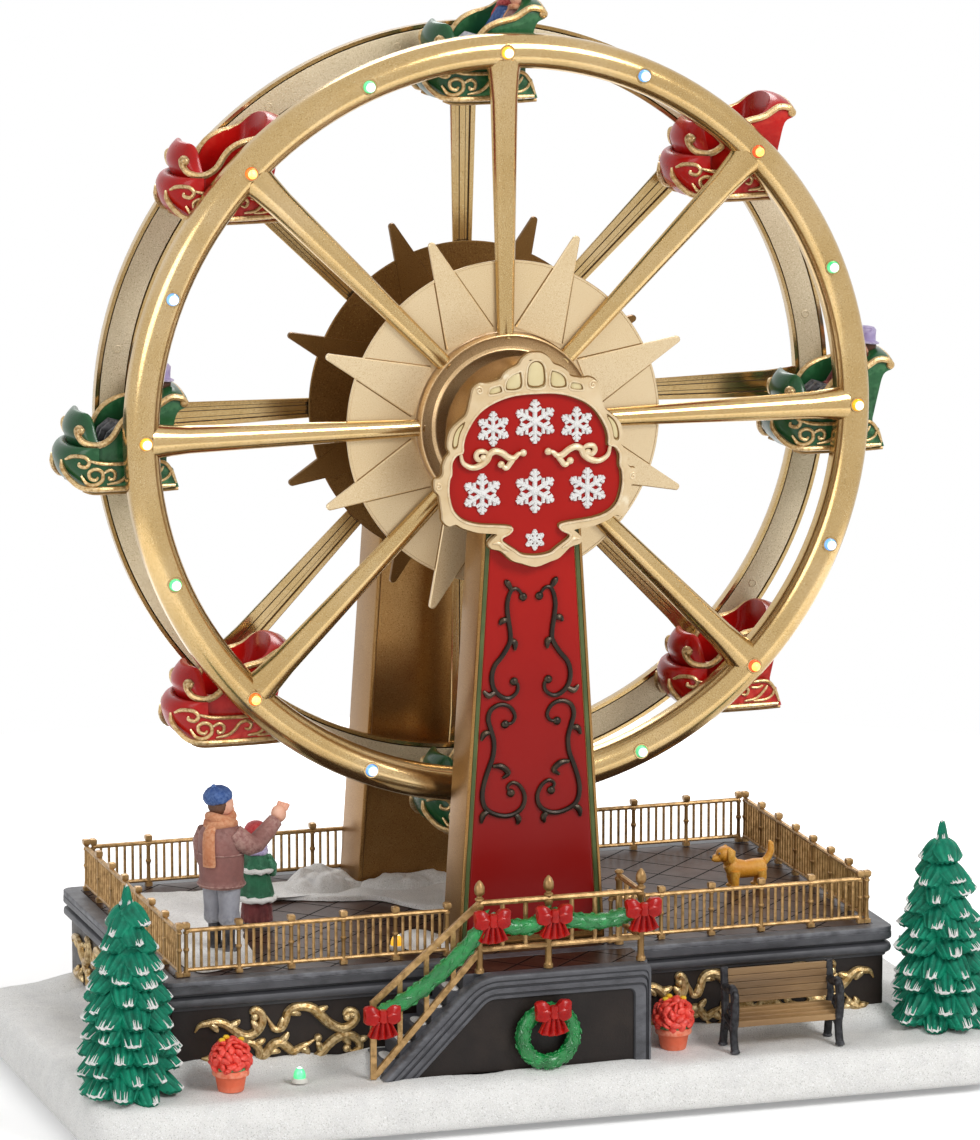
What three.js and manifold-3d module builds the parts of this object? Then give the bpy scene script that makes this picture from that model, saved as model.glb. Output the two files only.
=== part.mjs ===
// Christmas village ferris wheel: a lit, motor driven wheel with eight hanging sleighs on a railed deck.
// Millimetres, +Z up, +X to the viewer's right, +Y to the back. The origin is under the middle of the base.

import * as THREE from 'three';
import { mergeVertices } from 'three/addons/utils/BufferGeometryUtils.js';
import Module from 'manifold-3d';

const wasm = await Module();
wasm.setup();

// Shared clearances
const seat_gap = 0.3;        // between two pieces that rest on or in each other
const running_gap = 0.35;    // round a pin or shaft that turns
const cut_overrun = 1;       // how far a cutting shape runs past the face it cuts

// Base tray, feet and bottom cover
const base_length = 384;
const base_depth = 210;
const base_height = 19;
const base_corner = 17;
const base_round = 7;
const base_wall = 3.2;
const base_top_wall = 3;
const cover_thickness = 2;
const foot_height = 4;
const foot_radius = 7;
const foot_inset = 22;

// Plinth and deck
const plinth_end_gap = 41.5;   // from the end of the base to the plinth
const plinth_depth = 159;
const plinth_height = 40;
const plinth_wall = 3.4;
const cornice_overhang = 3.5;
const cornice_band = 4.6;
const cornice_groove = 1.4;
const cornice_groove_depth = 2;
const cornice_nose = 1;
const deck_thickness = 2.4;
const deck_ledge_width = 6;
const deck_ledge_thickness = 2.6;

// Wheel place
const axle_height = 270;
const axle_x = 4.5;
const axle_y = 15.4;
const plinth_y = axle_y;

// Wheel sides: sizes across the axle are measured from the wheel's middle plane outwards
const rim_radius = 150;
const rim_half_width = 7;
const rim_inner_face = 22.4;
const rim_crown = 32.4;
const rim_straight = 3.6;
const rim_channel_half_width = 5.6;
const rim_channel_depth = 7.4;
const rim_channel_roof_half_width = 3;
const rim_cover_thickness = 1;
const sleigh_count = 8;
const lamp_count = 16;
const rim_segments = 40;
const spoke_half_width_at_hub = 3.4;
const spoke_half_width_at_rim = 6;
const spoke_height_at_hub = 3.3;
const spoke_height_at_rim = 6;
const spoke_groove_share = 0.62;
const spoke_groove_depth = 1.3;
const hub_radius = 36.8;
const hub_band = 5.2;
const hub_floor_thickness = 2.2;
const hub_crown = 32.9;
const hub_boss_radius = 10;
const hub_boss_length = 9;

// Sunburst plates
const sunburst_disc_radius = 66;
const sunburst_tip_radius = 80.6;
const sunburst_root_radius = 39;
const sunburst_root_half_width = 10.4;
const sunburst_thickness = 1.2;
const sunburst_face = 27.9;
const sunburst_segments = 32;

// Lamps on the front rim
const lamp_radius = 2.5;
const lamp_stand_out = 1.4;
const lamp_wire_width = 2.4;
const lamp_wire_thickness = 1.2;

// Axle, bearings, gear drive and slip ring
const axle_radius = 4;
const axle_drum_radius = 9;
const bearing_radius = 7.5;
const bearing_flange_radius = 10;
const bearing_flange_thickness = 1.6;
const gear_module = 1.25;
const gear_teeth = 32;
const pinion_teeth = 10;
const gear_width = 5;
const gear_addendum_share = 0.85;
const gear_dedendum_share = 1.15;
const tooth_root_share = 0.25;
const tooth_tip_share = 0.1;
const motor_shaft_radius = 1.5;
const motor_shaft_length = 5;
const motor_width = 24;
const motor_height = 34;
const motor_can_radius = 7.6;
const slip_ring_radius = 6.5;
const slip_ring_width = 5;
const brush_width = 6;
const brush_height = 11;

// Towers
const tower_gap = 44;        // from the wheel's middle plane to each tower's near face
const tower_wall = 2;
const tower_plate = 1.8;
const front_tower_depth = 21;
const front_tower_foot_half = 31.2;
const front_tower_neck_half = 18.3;
const front_tower_head_radius = 29.7;
const rear_tower_depth = 28;
const rear_tower_foot_half = 41;
const rear_tower_neck_half = 27;
const rear_tower_head_radius = 33;
const panel_border = 3.4;
const panel_recess = 1.4;
const panel_thickness = 1.2;

// Sign board on the front tower head
const sign_width = 84;
const sign_height = 87;
const sign_drop = 8.5;       // how far the sign's middle lies below the axle
const sign_thickness = 5;
const sign_field_depth = 1.8;
const sign_frame_width = 4.6;

// Railings
const rail_height = 22;
const rail_beam_top = 19;
const rail_beam = 1.6;
const rail_beam_bottom = 1.2;
const rail_thickness = 2.2;
const rail_post_half = 1.3;
const baluster_width = 1.3;
const rail_slots_per_span = 2;
const rail_inset = 5.5;      // from the plinth's face to the railing's middle
const front_spans = 5;
const back_spans = 12;
const side_spans = 7;

// Landing, its stair cheek and its railing
const landing_left = -31.5;
const landing_right = 40.5;
const landing_foot_left = -71;
const landing_depth = 26.5;
const landing_band = 10.5;
const landing_pilaster = 7.6;
const landing_recess = 1.8;
const landing_rail_inset = 5.6;
const landing_return_inset = 5.5;
const landing_return_bars = 2;
const landing_rail_height = 28.3;
const landing_rail_low = 9.5;
const landing_post_radius = 1.5;
const landing_bar_radius = 0.9;
const landing_finial_height = 9.6;
const landing_finial_radius = 2.1;
const landing_bars_left = 2;
const landing_bars_right = 3;
const stair_bars = 3;
const stair_run = 44;
const stair_rail_height = 31;

// Garland, bows and wreath
const garland_radius = 3.3;
const garland_sag = 4.4;
const bow_width = 13;
const bow_height = 8;
const bow_thickness = 5;
const bow_tail = 7;
const wreath_radius = 10.6;
const wreath_tube = 3.5;

// Trees, pots, bench, lamps
const tree_height = 91;
const tree_radius = 22;
const tree_tiers = 8;
const tree_edge_inset = 1.6;
const tree_left_y = -80;
const tree_right_y = -74;
const pot_radius = 7.8;
const pot_height = 10;
const pot_flower_radius = 9;
const pot_flower_height = 13;
const pot_from_end = 18.5;
const pot_from_landing = 14;
const pot_left_y = -87;
const pot_right_y = -80;
const bench_width = 47;
const bench_depth = 15;
const bench_seat_height = 13;
const bench_height = 35;
const bench_place_share = 0.281;
const bench_y = -88;
const bench_end = 2.2;
const bench_board = 2;
const bench_back_gap = 7;
const spot_radius = 3.2;
const spot_height = 6.4;
const green_lamp_share = 0.385;
const green_lamp_y = -84;
const yellow_lamp_gap = 23.7;
const yellow_lamp_y = -43;

// Figures
const man_height = 66;
const man_from_end = 31.7;
const man_y = -27;
const girl_height = 41;
const girl_from_end = 56.9;
const girl_y = 11;
const dog_length = 20;
const dog_height = 14;
const dog_from_end = 33.1;
const dog_y = 11.7;

// Snow on the deck
const deck_snow_thickness = 1.6;
const deck_snow_gap = 7.7;
const deck_snow_lap = 7.3;
const deck_snow_heap = 9;

// Sleighs: x from the nose to the back, z from the pins
const sleigh_length = 52;
const sleigh_height = 37;
const sleigh_skirt_half_width = 18.6;
const sleigh_tub_half_width = 16.6;
const sleigh_wall = 1.7;
const sleigh_pin_radius = 2;
const sleigh_pin_reach = 3.2;
const rider_spread = 7.4;
const rider_chest_radius = 6.4;
const rider_leg_radius = 3.4;
const rider_head_width = 6.4;
const rider_head_height = 7.8;

// Battery bay and switch
const bay_length = 62;
const bay_width = 34;
const bay_height = 17;
const bay_wall = 1.6;
const bay_x = -60;
const door_margin = 3;
const door_thickness = 1.2;
const door_lip = 1.6;
const door_rail = 1.4;
const switch_x = 100;
const switch_travel = 4;
const switch_width = 5;
const switch_height = 3.6;
const switch_stand_out = 3;

// Heights worked out from the sizes above
const base_top = foot_height + base_height;
const deck_top = base_top + plinth_height;
const plinth_half_x = base_length / 2 - plinth_end_gap;
const plinth_half_y = plinth_depth / 2;
const plinth_front = plinth_y - plinth_half_y;
const plinth_back = plinth_y + plinth_half_y;
const landing_back = plinth_front - cornice_overhang - seat_gap;
const landing_front = landing_back - landing_depth;
const tree_x = base_length / 2 - tree_radius + tree_edge_inset;
const pot_left_x = pot_from_end - plinth_half_x;
const pot_right_x = landing_right + pot_from_landing;
const bench_room = tree_x - tree_radius - pot_right_x - pot_flower_radius - bench_width;
const bench_x = pot_right_x + pot_flower_radius + bench_place_share * bench_room + bench_width / 2;
const pot_left_edge = pot_left_x + pot_flower_radius;
const green_lamp_x = pot_left_edge + green_lamp_share * (landing_foot_left - pot_left_edge);
const yellow_lamp_x = axle_x - front_tower_foot_half - yellow_lamp_gap;
const man_x = man_from_end - plinth_half_x;
const girl_x = girl_from_end - plinth_half_x;
const dog_x = plinth_half_x - dog_from_end;

// Finishes: colour, roughness, metalness
const gold = [0xb08d4f, 0.42, 0.75];
const pale_gold = [0xd8c096, 0.45, 0.6];
const dark_gold = [0x9a7a45, 0.45, 0.7];
const snow_white = [0xe9e9e6, 0.9, 0];
const dark_brown = [0x2b2420, 0.55, 0];
const deck_brown = [0x4b3430, 0.35, 0];
const slate = [0x5b5c63, 0.7, 0];
const sleigh_red = [0xb3141a, 0.3, 0];
const sleigh_green = [0x1e5b38, 0.3, 0];
const panel_red = [0xa51c1c, 0.25, 0];
const cream_gold = [0xe6cfa0, 0.45, 0.4];
const leaf_green = [0x0e7a5a, 0.6, 0];
const garland_green = [0x0c8a44, 0.45, 0];
const black = [0x1d1d20, 0.5, 0];
const steel = [0xb8babd, 0.35, 0.9];
const white_plastic = [0xd9d7cf, 0.5, 0];
const lamp_glow = [0xffe9b0, 0.2, 0];
const terracotta = [0xe86a45, 0.7, 0];
const wood_brown = [0x7a6040, 0.7, 0];
const coat_brown = [0x7d655e, 0.7, 0];
const dress_green = [0x1c6b45, 0.7, 0];
const dog_gold = [0xc98a2d, 0.7, 0];

// Solids from geometry and back

function signedVolume(positions, index) {
  const a = new THREE.Vector3(), b = new THREE.Vector3(), c = new THREE.Vector3();
  let total = 0;
  for (let i = 0; i < index.length; i += 3) {
    a.fromArray(positions, index[i] * 3);
    b.fromArray(positions, index[i + 1] * 3);
    c.fromArray(positions, index[i + 2] * 3);
    total += a.dot(b.cross(c));
  }
  return total;
}

function solidOf(geometry) {
  const bare = geometry.clone();
  bare.deleteAttribute('normal');
  bare.deleteAttribute('uv');
  const merged = mergeVertices(bare);
  const positions = merged.attributes.position.array;
  const triangles = [];
  const index = merged.index.array;
  for (let i = 0; i < index.length; i += 3) {
    const [a, b, c] = [index[i], index[i + 1], index[i + 2]];
    if (a !== b && b !== c && c !== a) triangles.push(a, b, c);
  }
  if (signedVolume(positions, triangles) < 0) {
    for (let i = 0; i < triangles.length; i += 3) {
      [triangles[i], triangles[i + 1]] = [triangles[i + 1], triangles[i]];
    }
  }
  return new wasm.Manifold(new wasm.Mesh({
    numProp: 3,
    vertProperties: new Float32Array(positions),
    triVerts: new Uint32Array(triangles),
  }));
}

function geometryOf(solid) {
  const mesh = solid.getMesh();
  const geometry = new THREE.BufferGeometry();
  geometry.setAttribute('position', new THREE.BufferAttribute(new Float32Array(mesh.vertProperties), 3));
  geometry.setIndex(new THREE.BufferAttribute(new Uint32Array(mesh.triVerts), 1));
  geometry.computeVertexNormals();
  return geometry;
}

function joined(solids) {
  return solids.reduce((whole, solid) => whole.add(solid));
}

// Plain solids

function box(x0, x1, y0, y1, z0, z1) {
  const geometry = new THREE.BoxGeometry(x1 - x0, y1 - y0, z1 - z0);
  geometry.translate((x0 + x1) / 2, (y0 + y1) / 2, (z0 + z1) / 2);
  return solidOf(geometry);
}

// A ring or disc about the Y axis; the profile is a list of [radius, y]
function turned(profile, segments) {
  const points = profile.map(([radius, y]) => new THREE.Vector2(radius, y));
  if (profile[0][0] > 0) points.push(points[0].clone());
  return solidOf(new THREE.LatheGeometry(points, segments));
}

function cylinderY(radius, y0, y1, segments, x = 0, z = 0) {
  return turned([[0, y0], [radius, y0], [radius, y1], [0, y1]], segments).translate([x, 0, z]);
}

// The same about a vertical axis; the profile is a list of [radius, z]
function turnedUp(profile, segments, x, y, z) {
  const points = profile.map(([radius, height]) => new THREE.Vector2(radius, height));
  const geometry = new THREE.LatheGeometry(points, segments);
  geometry.rotateX(Math.PI / 2);
  geometry.translate(x, y, z);
  return solidOf(geometry);
}

// An outline of [x, z] points made into a plate between y0 and y1
function plate(outline, y0, y1, holes = []) {
  const shape = new THREE.Shape(outline.map(([x, z]) => new THREE.Vector2(x, z)));
  for (const hole of holes) {
    shape.holes.push(new THREE.Path(hole.map(([x, z]) => new THREE.Vector2(x, z))));
  }
  const geometry = new THREE.ExtrudeGeometry(shape, { depth: y1 - y0, bevelEnabled: false, curveSegments: 8 });
  geometry.rotateX(Math.PI / 2);
  geometry.translate(0, y1, 0);
  return solidOf(geometry);
}

// An outline of [x, y] points made into a slab between z0 and z1
function slab(outline, z0, z1) {
  const shape = new THREE.Shape(outline.map(([x, y]) => new THREE.Vector2(x, y)));
  const geometry = new THREE.ExtrudeGeometry(shape, { depth: z1 - z0, bevelEnabled: false });
  geometry.translate(0, 0, z0);
  return solidOf(geometry);
}

// Rings of points with equal counts, skinned in order and closed at both ends
function loft(rings) {
  const count = rings[0].length;
  const positions = rings.flat().flatMap((p) => [p.x, p.y, p.z]);
  const index = [];
  for (let level = 0; level + 1 < rings.length; level += 1) {
    for (let i = 0; i < count; i += 1) {
      const next = (i + 1) % count;
      const low = level * count;
      const high = low + count;
      index.push(low + i, low + next, high + next, low + i, high + next, high + i);
    }
  }
  const last = (rings.length - 1) * count;
  for (let i = 1; i + 1 < count; i += 1) {
    index.push(0, i + 1, i, last, last + i, last + i + 1);
  }
  const geometry = new THREE.BufferGeometry();
  geometry.setAttribute('position', new THREE.Float32BufferAttribute(positions, 3));
  geometry.setIndex(index);
  return solidOf(geometry);
}

// A tube of one radius along a curve
function tube(points, radius, sides, steps) {
  const section = new THREE.Shape();
  section.absarc(0, 0, radius, 0, Math.PI * 2);
  const outline = [];
  for (let i = 0; i < sides; i += 1) {
    const turn = (i / sides) * Math.PI * 2;
    outline.push(new THREE.Vector2(radius * Math.cos(turn), radius * Math.sin(turn)));
  }
  const path = new THREE.CatmullRomCurve3(points);
  return solidOf(new THREE.ExtrudeGeometry(new THREE.Shape(outline), { steps, extrudePath: path }));
}

// A straight round bar between two points
function bar(from, to, radius, sides) {
  const along = to.clone().sub(from);
  const geometry = new THREE.CylinderGeometry(radius, radius, along.length(), sides);
  geometry.applyQuaternion(new THREE.Quaternion().setFromUnitVectors(new THREE.Vector3(0, 1, 0),
    along.clone().normalize()));
  geometry.translate((from.x + to.x) / 2, (from.y + to.y) / 2, (from.z + to.z) / 2);
  return solidOf(geometry);
}

function ellipsoid(x, y, z, rx, ry, rz, across = 6, up = 4) {
  const geometry = new THREE.SphereGeometry(1, across, up);
  geometry.rotateX(Math.PI / 2);
  geometry.scale(rx, ry, rz);
  geometry.translate(x, y, z);
  return solidOf(geometry);
}

function roundedOutline(length, depth, corner, steps = 4) {
  const outline = [];
  const centres = [[1, 1], [-1, 1], [-1, -1], [1, -1]];
  centres.forEach(([sx, sy], quarter) => {
    for (let i = 0; i <= steps; i += 1) {
      const turn = (quarter + i / steps) * Math.PI / 2;
      outline.push([sx * (length / 2 - corner) + corner * Math.cos(turn),
        sy * (depth / 2 - corner) + corner * Math.sin(turn)]);
    }
  });
  return outline;
}

// A closed profile of [outward, z] points run round a rectangle with mitred corners
function mitredFrame(half_x, half_y, profile, x, y) {
  const rings = profile.map(([out, z]) => [[1, 1], [-1, 1], [-1, -1], [1, -1]].map(([sx, sy]) => (
    [x + sx * (half_x + out), y + sy * (half_y + out), z])));
  const positions = rings.flat().flat();
  const index = [];
  for (let level = 0; level < rings.length; level += 1) {
    const above = (level + 1) % rings.length;
    for (let side = 0; side < 4; side += 1) {
      const next = (side + 1) % 4;
      index.push(level * 4 + side, level * 4 + next, above * 4 + next);
      index.push(level * 4 + side, above * 4 + next, above * 4 + side);
    }
  }
  const geometry = new THREE.BufferGeometry();
  geometry.setAttribute('position', new THREE.Float32BufferAttribute(positions, 3));
  geometry.setIndex(index);
  return solidOf(geometry);
}

// The finished model: one named mesh for each piece

const model = new THREE.Group();

function addPiece(group, name, solid, [color, roughness, metalness]) {
  const material = new THREE.MeshStandardMaterial({ color, roughness, metalness });
  const mesh = new THREE.Mesh(geometryOf(solid), material);
  mesh.name = name;
  group.add(mesh);
}

// Base tray with a soft snow edge, its bottom cover and feet

function snowBase() {
  const levels = [0, 0.45, 0.8, 1].map((share) => {
    const turn = share * Math.PI / 2;
    return { inset: base_round * (1 - Math.cos(turn)), z: base_top - base_round * (1 - Math.sin(turn)) };
  });
  levels.unshift({ inset: 0, z: foot_height });
  const rings = levels.map(({ inset, z }) => roundedOutline(base_length - 2 * inset, base_depth - 2 * inset,
    base_corner - inset).map(([x, y]) => new THREE.Vector3(x, y, z)));
  const hollow = slab(roundedOutline(base_length - 2 * base_round, base_depth - 2 * base_round,
    base_corner - base_round), foot_height - cut_overrun, base_top - base_top_wall);
  const opening_length = 2 * (plinth_half_x - plinth_wall - deck_ledge_width);
  const opening_depth = plinth_depth - 2 * plinth_wall - 2 * deck_ledge_width;
  const opening = box(-opening_length / 2, opening_length / 2, plinth_y - opening_depth / 2,
    plinth_y + opening_depth / 2, foot_height, base_top + cut_overrun);
  return loft(rings).subtract(hollow).subtract(opening);
}

const door_length = bay_length + 2 * door_margin;
const door_width = bay_width + 2 * door_margin;
const door_top = foot_height - seat_gap;
const door_bottom = door_top - door_thickness;

function bottomCover() {
  const outline = roundedOutline(base_length - 2 * base_round - 2 * seat_gap,
    base_depth - 2 * base_round - 2 * seat_gap, base_corner - base_round);
  const cover = slab(outline, foot_height, foot_height + cover_thickness);
  const hatch = box(bay_x - bay_length / 2, bay_x + bay_length / 2, plinth_y - bay_width / 2,
    plinth_y + bay_width / 2, foot_height - cut_overrun, foot_height + cover_thickness + cut_overrun);
  const side = door_width / 2 + seat_gap;
  const lip_top = door_bottom - seat_gap;
  const rails = [1, -1].map((way) => {
    const outline_x = bay_x - door_length / 2;
    const wall = box(outline_x, outline_x + door_length, Math.min(way * side, way * (side + door_rail)) + plinth_y,
      Math.max(way * side, way * (side + door_rail)) + plinth_y, lip_top - door_rail / 2, foot_height + door_rail / 2);
    const lip = box(outline_x, outline_x + door_length,
      Math.min(way * (side - door_lip), way * (side + door_rail / 2)) + plinth_y,
      Math.max(way * (side - door_lip), way * (side + door_rail / 2)) + plinth_y, lip_top - door_rail / 2, lip_top);
    return wall.add(lip);
  });
  return joined([cover.subtract(hatch), ...rails]);
}

function batteryDoor() {
  return box(bay_x - door_length / 2, bay_x + door_length / 2, plinth_y - door_width / 2,
    plinth_y + door_width / 2, door_bottom, door_top);
}

function batteryTray() {
  const bottom = foot_height + cover_thickness + seat_gap;
  const outer_x = bay_length / 2 + bay_wall;
  const outer_y = bay_width / 2 + bay_wall;
  const outer = box(bay_x - outer_x, bay_x + outer_x, plinth_y - outer_y, plinth_y + outer_y,
    bottom, bottom + bay_height + bay_wall);
  const inner = box(bay_x - bay_length / 2, bay_x + bay_length / 2, plinth_y - bay_width / 2,
    plinth_y + bay_width / 2, bottom - cut_overrun, bottom + bay_height);
  return outer.subtract(inner);
}

function addBase(group) {
  addPiece(group, 'snow_base', snowBase(), snow_white);
  addPiece(group, 'bottom_cover', bottomCover(), black);
  const foot_x = base_length / 2 - foot_inset;
  const foot_y = base_depth / 2 - foot_inset;
  const places = { front_left: [-1, -1], front_right: [1, -1], back_left: [-1, 1], back_right: [1, 1] };
  for (const [place, [sx, sy]] of Object.entries(places)) {
    const foot = turnedUp([[0, 0], [foot_radius, 0], [foot_radius, foot_height - seat_gap],
      [0, foot_height - seat_gap]], 12, sx * foot_x, sy * foot_y, 0);
    addPiece(group, `foot_${place}`, foot, black);
  }
  addPiece(group, 'battery_tray', batteryTray(), black);
  addPiece(group, 'battery_door', batteryDoor(), black);
}

// Plinth with its two band cornice, the deck board and the slide switch in the back wall

const switch_slot_height = switch_height + 2 * seat_gap;
const switch_slot_length = switch_width + switch_travel + 2 * seat_gap;
const switch_z = base_top + plinth_height / 3;

function plinth() {
  const bottom = base_top + seat_gap;
  const band_low = deck_top - 2 * cornice_band - cornice_groove;
  const groove_out = cornice_overhang - cornice_groove_depth;
  const band = (low) => [
    [cornice_overhang - cornice_nose, low],
    [cornice_overhang, low + cornice_nose],
    [cornice_overhang, low + cornice_band - cornice_nose],
    [cornice_overhang - cornice_nose, low + cornice_band],
  ];
  const ledge_top = deck_top - deck_thickness - seat_gap;
  const profile = [
    [-plinth_wall, bottom],
    [0, bottom],
    [0, band_low],
    ...band(band_low),
    [groove_out, band_low + cornice_band],
    [groove_out, band_low + cornice_band + cornice_groove],
    ...band(band_low + cornice_band + cornice_groove),
    [-plinth_wall, deck_top],
    [-plinth_wall, ledge_top],
    [-plinth_wall - deck_ledge_width, ledge_top],
    [-plinth_wall - deck_ledge_width, ledge_top - deck_ledge_thickness],
    [-plinth_wall, ledge_top - deck_ledge_thickness - deck_ledge_width],
  ];
  const ring = mitredFrame(plinth_half_x, plinth_half_y, profile, 0, plinth_y);
  const slot = box(switch_x - seat_gap, switch_x - seat_gap + switch_slot_length,
    plinth_back - plinth_wall - cut_overrun, plinth_back + cut_overrun,
    switch_z - switch_slot_height / 2, switch_z + switch_slot_height / 2);
  return ring.subtract(slot);
}

function powerSwitch() {
  const inner = plinth_back - plinth_wall - seat_gap;
  const knob = box(switch_x, switch_x + switch_width, inner - seat_gap, plinth_back + switch_stand_out,
    switch_z - switch_height / 2, switch_z + switch_height / 2);
  const slider = box(switch_x - switch_width / 2, switch_x + switch_width * 1.5, inner - plinth_wall, inner,
    switch_z - switch_height, switch_z + switch_height);
  return knob.add(slider);
}

function deckBoard() {
  const half_x = plinth_half_x - plinth_wall - seat_gap;
  const half_y = plinth_half_y - plinth_wall - seat_gap;
  const outline = [[-half_x, plinth_y - half_y], [half_x, plinth_y - half_y], [half_x, plinth_y + half_y],
    [-half_x, plinth_y + half_y]];
  return slab(outline, deck_top - deck_thickness, deck_top);
}

// Snow that lies on the left of the deck and banks up against the rear tower's foot
function deckSnow() {
  const low = deck_top + seat_gap;
  const left = -plinth_half_x + rail_inset + 3 * rail_thickness;
  const front = plinth_front + rail_inset + 3 * rail_thickness;
  const heap_back = axle_y + tower_gap - seat_gap;
  const heap_front = heap_back - 1.6 * deck_snow_heap;
  const length = axle_x - front_tower_foot_half - deck_snow_gap - left;
  const depth = heap_front + deck_snow_lap - front;
  const edge_shares = [[0, 0.06], [0.5, 0], [1, 0.2], [0.86, 0.46], [1, 0.72], [0.7, 1], [0.2, 0.96], [0, 0.7]];
  const rings = [[0, 0], [1, 0.03]].map(([rise, inset]) => edge_shares.map(([sx, sy]) => new THREE.Vector3(
    left + length * (sx + inset * (0.5 - sx) * 2), front + depth * (sy + inset * (0.5 - sy) * 2),
    low + rise * deck_snow_thickness)));
  const heap_left = axle_x - rear_tower_foot_half;
  const heap_outline = [[heap_front, low], [heap_back, low], [heap_back, low + deck_snow_heap],
    [heap_back - 0.35 * deck_snow_heap, low + 0.8 * deck_snow_heap]];
  const heap_rings = [[0, 1], [0.5, 1], [1, 0.25]].map(([along, size]) => heap_outline.map(([y, z]) => (
    new THREE.Vector3(heap_left + along * rear_tower_foot_half * 1.8, heap_back + (y - heap_back) * size,
      low + (z - low) * size))));
  const link = box(left + length * 0.6, heap_left + rear_tower_foot_half / 4,
    heap_front + deck_snow_heap / 4, heap_back - deck_snow_heap / 4, low, low + deck_snow_thickness);
  return joined([loft(rings), loft(heap_rings), link]);
}

function addPlinth(group) {
  addPiece(group, 'plinth', plinth(), dark_brown);
  addPiece(group, 'deck_board', deckBoard(), deck_brown);
  addPiece(group, 'deck_snow', deckSnow(), snow_white);
  addPiece(group, 'power_switch', powerSwitch(), black);
}

// Railings: a pierced panel with turned posts, built along X from its left post

function railing(length, spans) {
  const panel_low = rail_beam_bottom;
  const slot_low = rail_beam_bottom + rail_beam;
  const slot_high = rail_beam_top - rail_beam;
  const span = length / spans;
  const clear = span - 2 * rail_post_half;
  const slot_width = (clear - (rail_slots_per_span - 1) * baluster_width) / rail_slots_per_span;
  const slots = [];
  for (let s = 0; s < spans; s += 1) {
    for (let i = 0; i < rail_slots_per_span; i += 1) {
      const x = s * span + rail_post_half + i * (slot_width + baluster_width);
      slots.push(box(x, x + slot_width, -rail_thickness, rail_thickness, slot_low, slot_high));
    }
  }
  const panel = box(0, length, -rail_thickness / 2, rail_thickness / 2, panel_low, rail_beam_top)
    .subtract(joined(slots));
  const posts = [];
  for (let s = 0; s <= spans; s += 1) {
    posts.push(box(s * span - rail_post_half, s * span + rail_post_half, -rail_thickness / 2, rail_thickness / 2,
      0, rail_height));
  }
  return joined([panel, ...posts]);
}

function placedRailing(length, spans, x, y, turn) {
  return railing(length, spans).rotate([0, 0, turn]).translate([x, y, deck_top + seat_gap]);
}

const rail_half_x = plinth_half_x - rail_inset;
const rail_half_y = plinth_half_y - rail_inset;
const corner_step = 2 * rail_post_half + seat_gap;
const front_left_end = landing_left - 2 * rail_post_half;
const front_right_start = landing_right - landing_return_inset;

function addRailings(group) {
  const front = plinth_y - rail_half_y;
  const back = plinth_y + rail_half_y;
  const left = -rail_half_x + corner_step;
  const right = rail_half_x - corner_step;
  const sides_from = front;
  addPiece(group, 'rail_front_left', placedRailing(front_left_end - left, front_spans, left, front, 0), gold);
  addPiece(group, 'rail_front_right', placedRailing(right - front_right_start, front_spans, front_right_start,
    front, 0), gold);
  addPiece(group, 'rail_back', placedRailing(right - left, back_spans, left, back, 0), gold);
  addPiece(group, 'rail_left', placedRailing(2 * rail_half_y, side_spans, -rail_half_x, sides_from, 90), gold);
  addPiece(group, 'rail_right', placedRailing(2 * rail_half_y, side_spans, rail_half_x, sides_from, 90), gold);
}

// Landing block with its sloping stair cheek

function landingBlock() {
  const low = base_top + seat_gap;
  const outline = [[landing_foot_left, low], [landing_right, low], [landing_right, deck_top],
    [landing_left, deck_top]];
  const slope = (landing_left - landing_foot_left) / (deck_top - low);
  const inner_top = deck_top - landing_band;
  const cheek = landing_pilaster * Math.hypot(1, slope);
  const recess = [[landing_foot_left + cheek, low - cut_overrun],
    [landing_right - landing_pilaster, low - cut_overrun], [landing_right - landing_pilaster, inner_top],
    [landing_foot_left + cheek + slope * (inner_top - low), inner_top]];
  return plate(outline, landing_front, landing_back)
    .subtract(plate(recess, landing_front - cut_overrun, landing_front + landing_recess));
}

// Landing and stair railing: one casting of round bars in one plane

const landing_rail_y = landing_front + landing_rail_inset;
const landing_floor = deck_top + seat_gap;
const landing_posts_x = [landing_left + landing_post_radius,
  landing_left + (landing_right - landing_left) * 0.42, landing_right - 2 * landing_post_radius];
const landing_rail_top = landing_floor + landing_rail_height;
const stair_foot_x = landing_posts_x[0] - stair_run;
const stair_floor = base_top + seat_gap;

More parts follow.
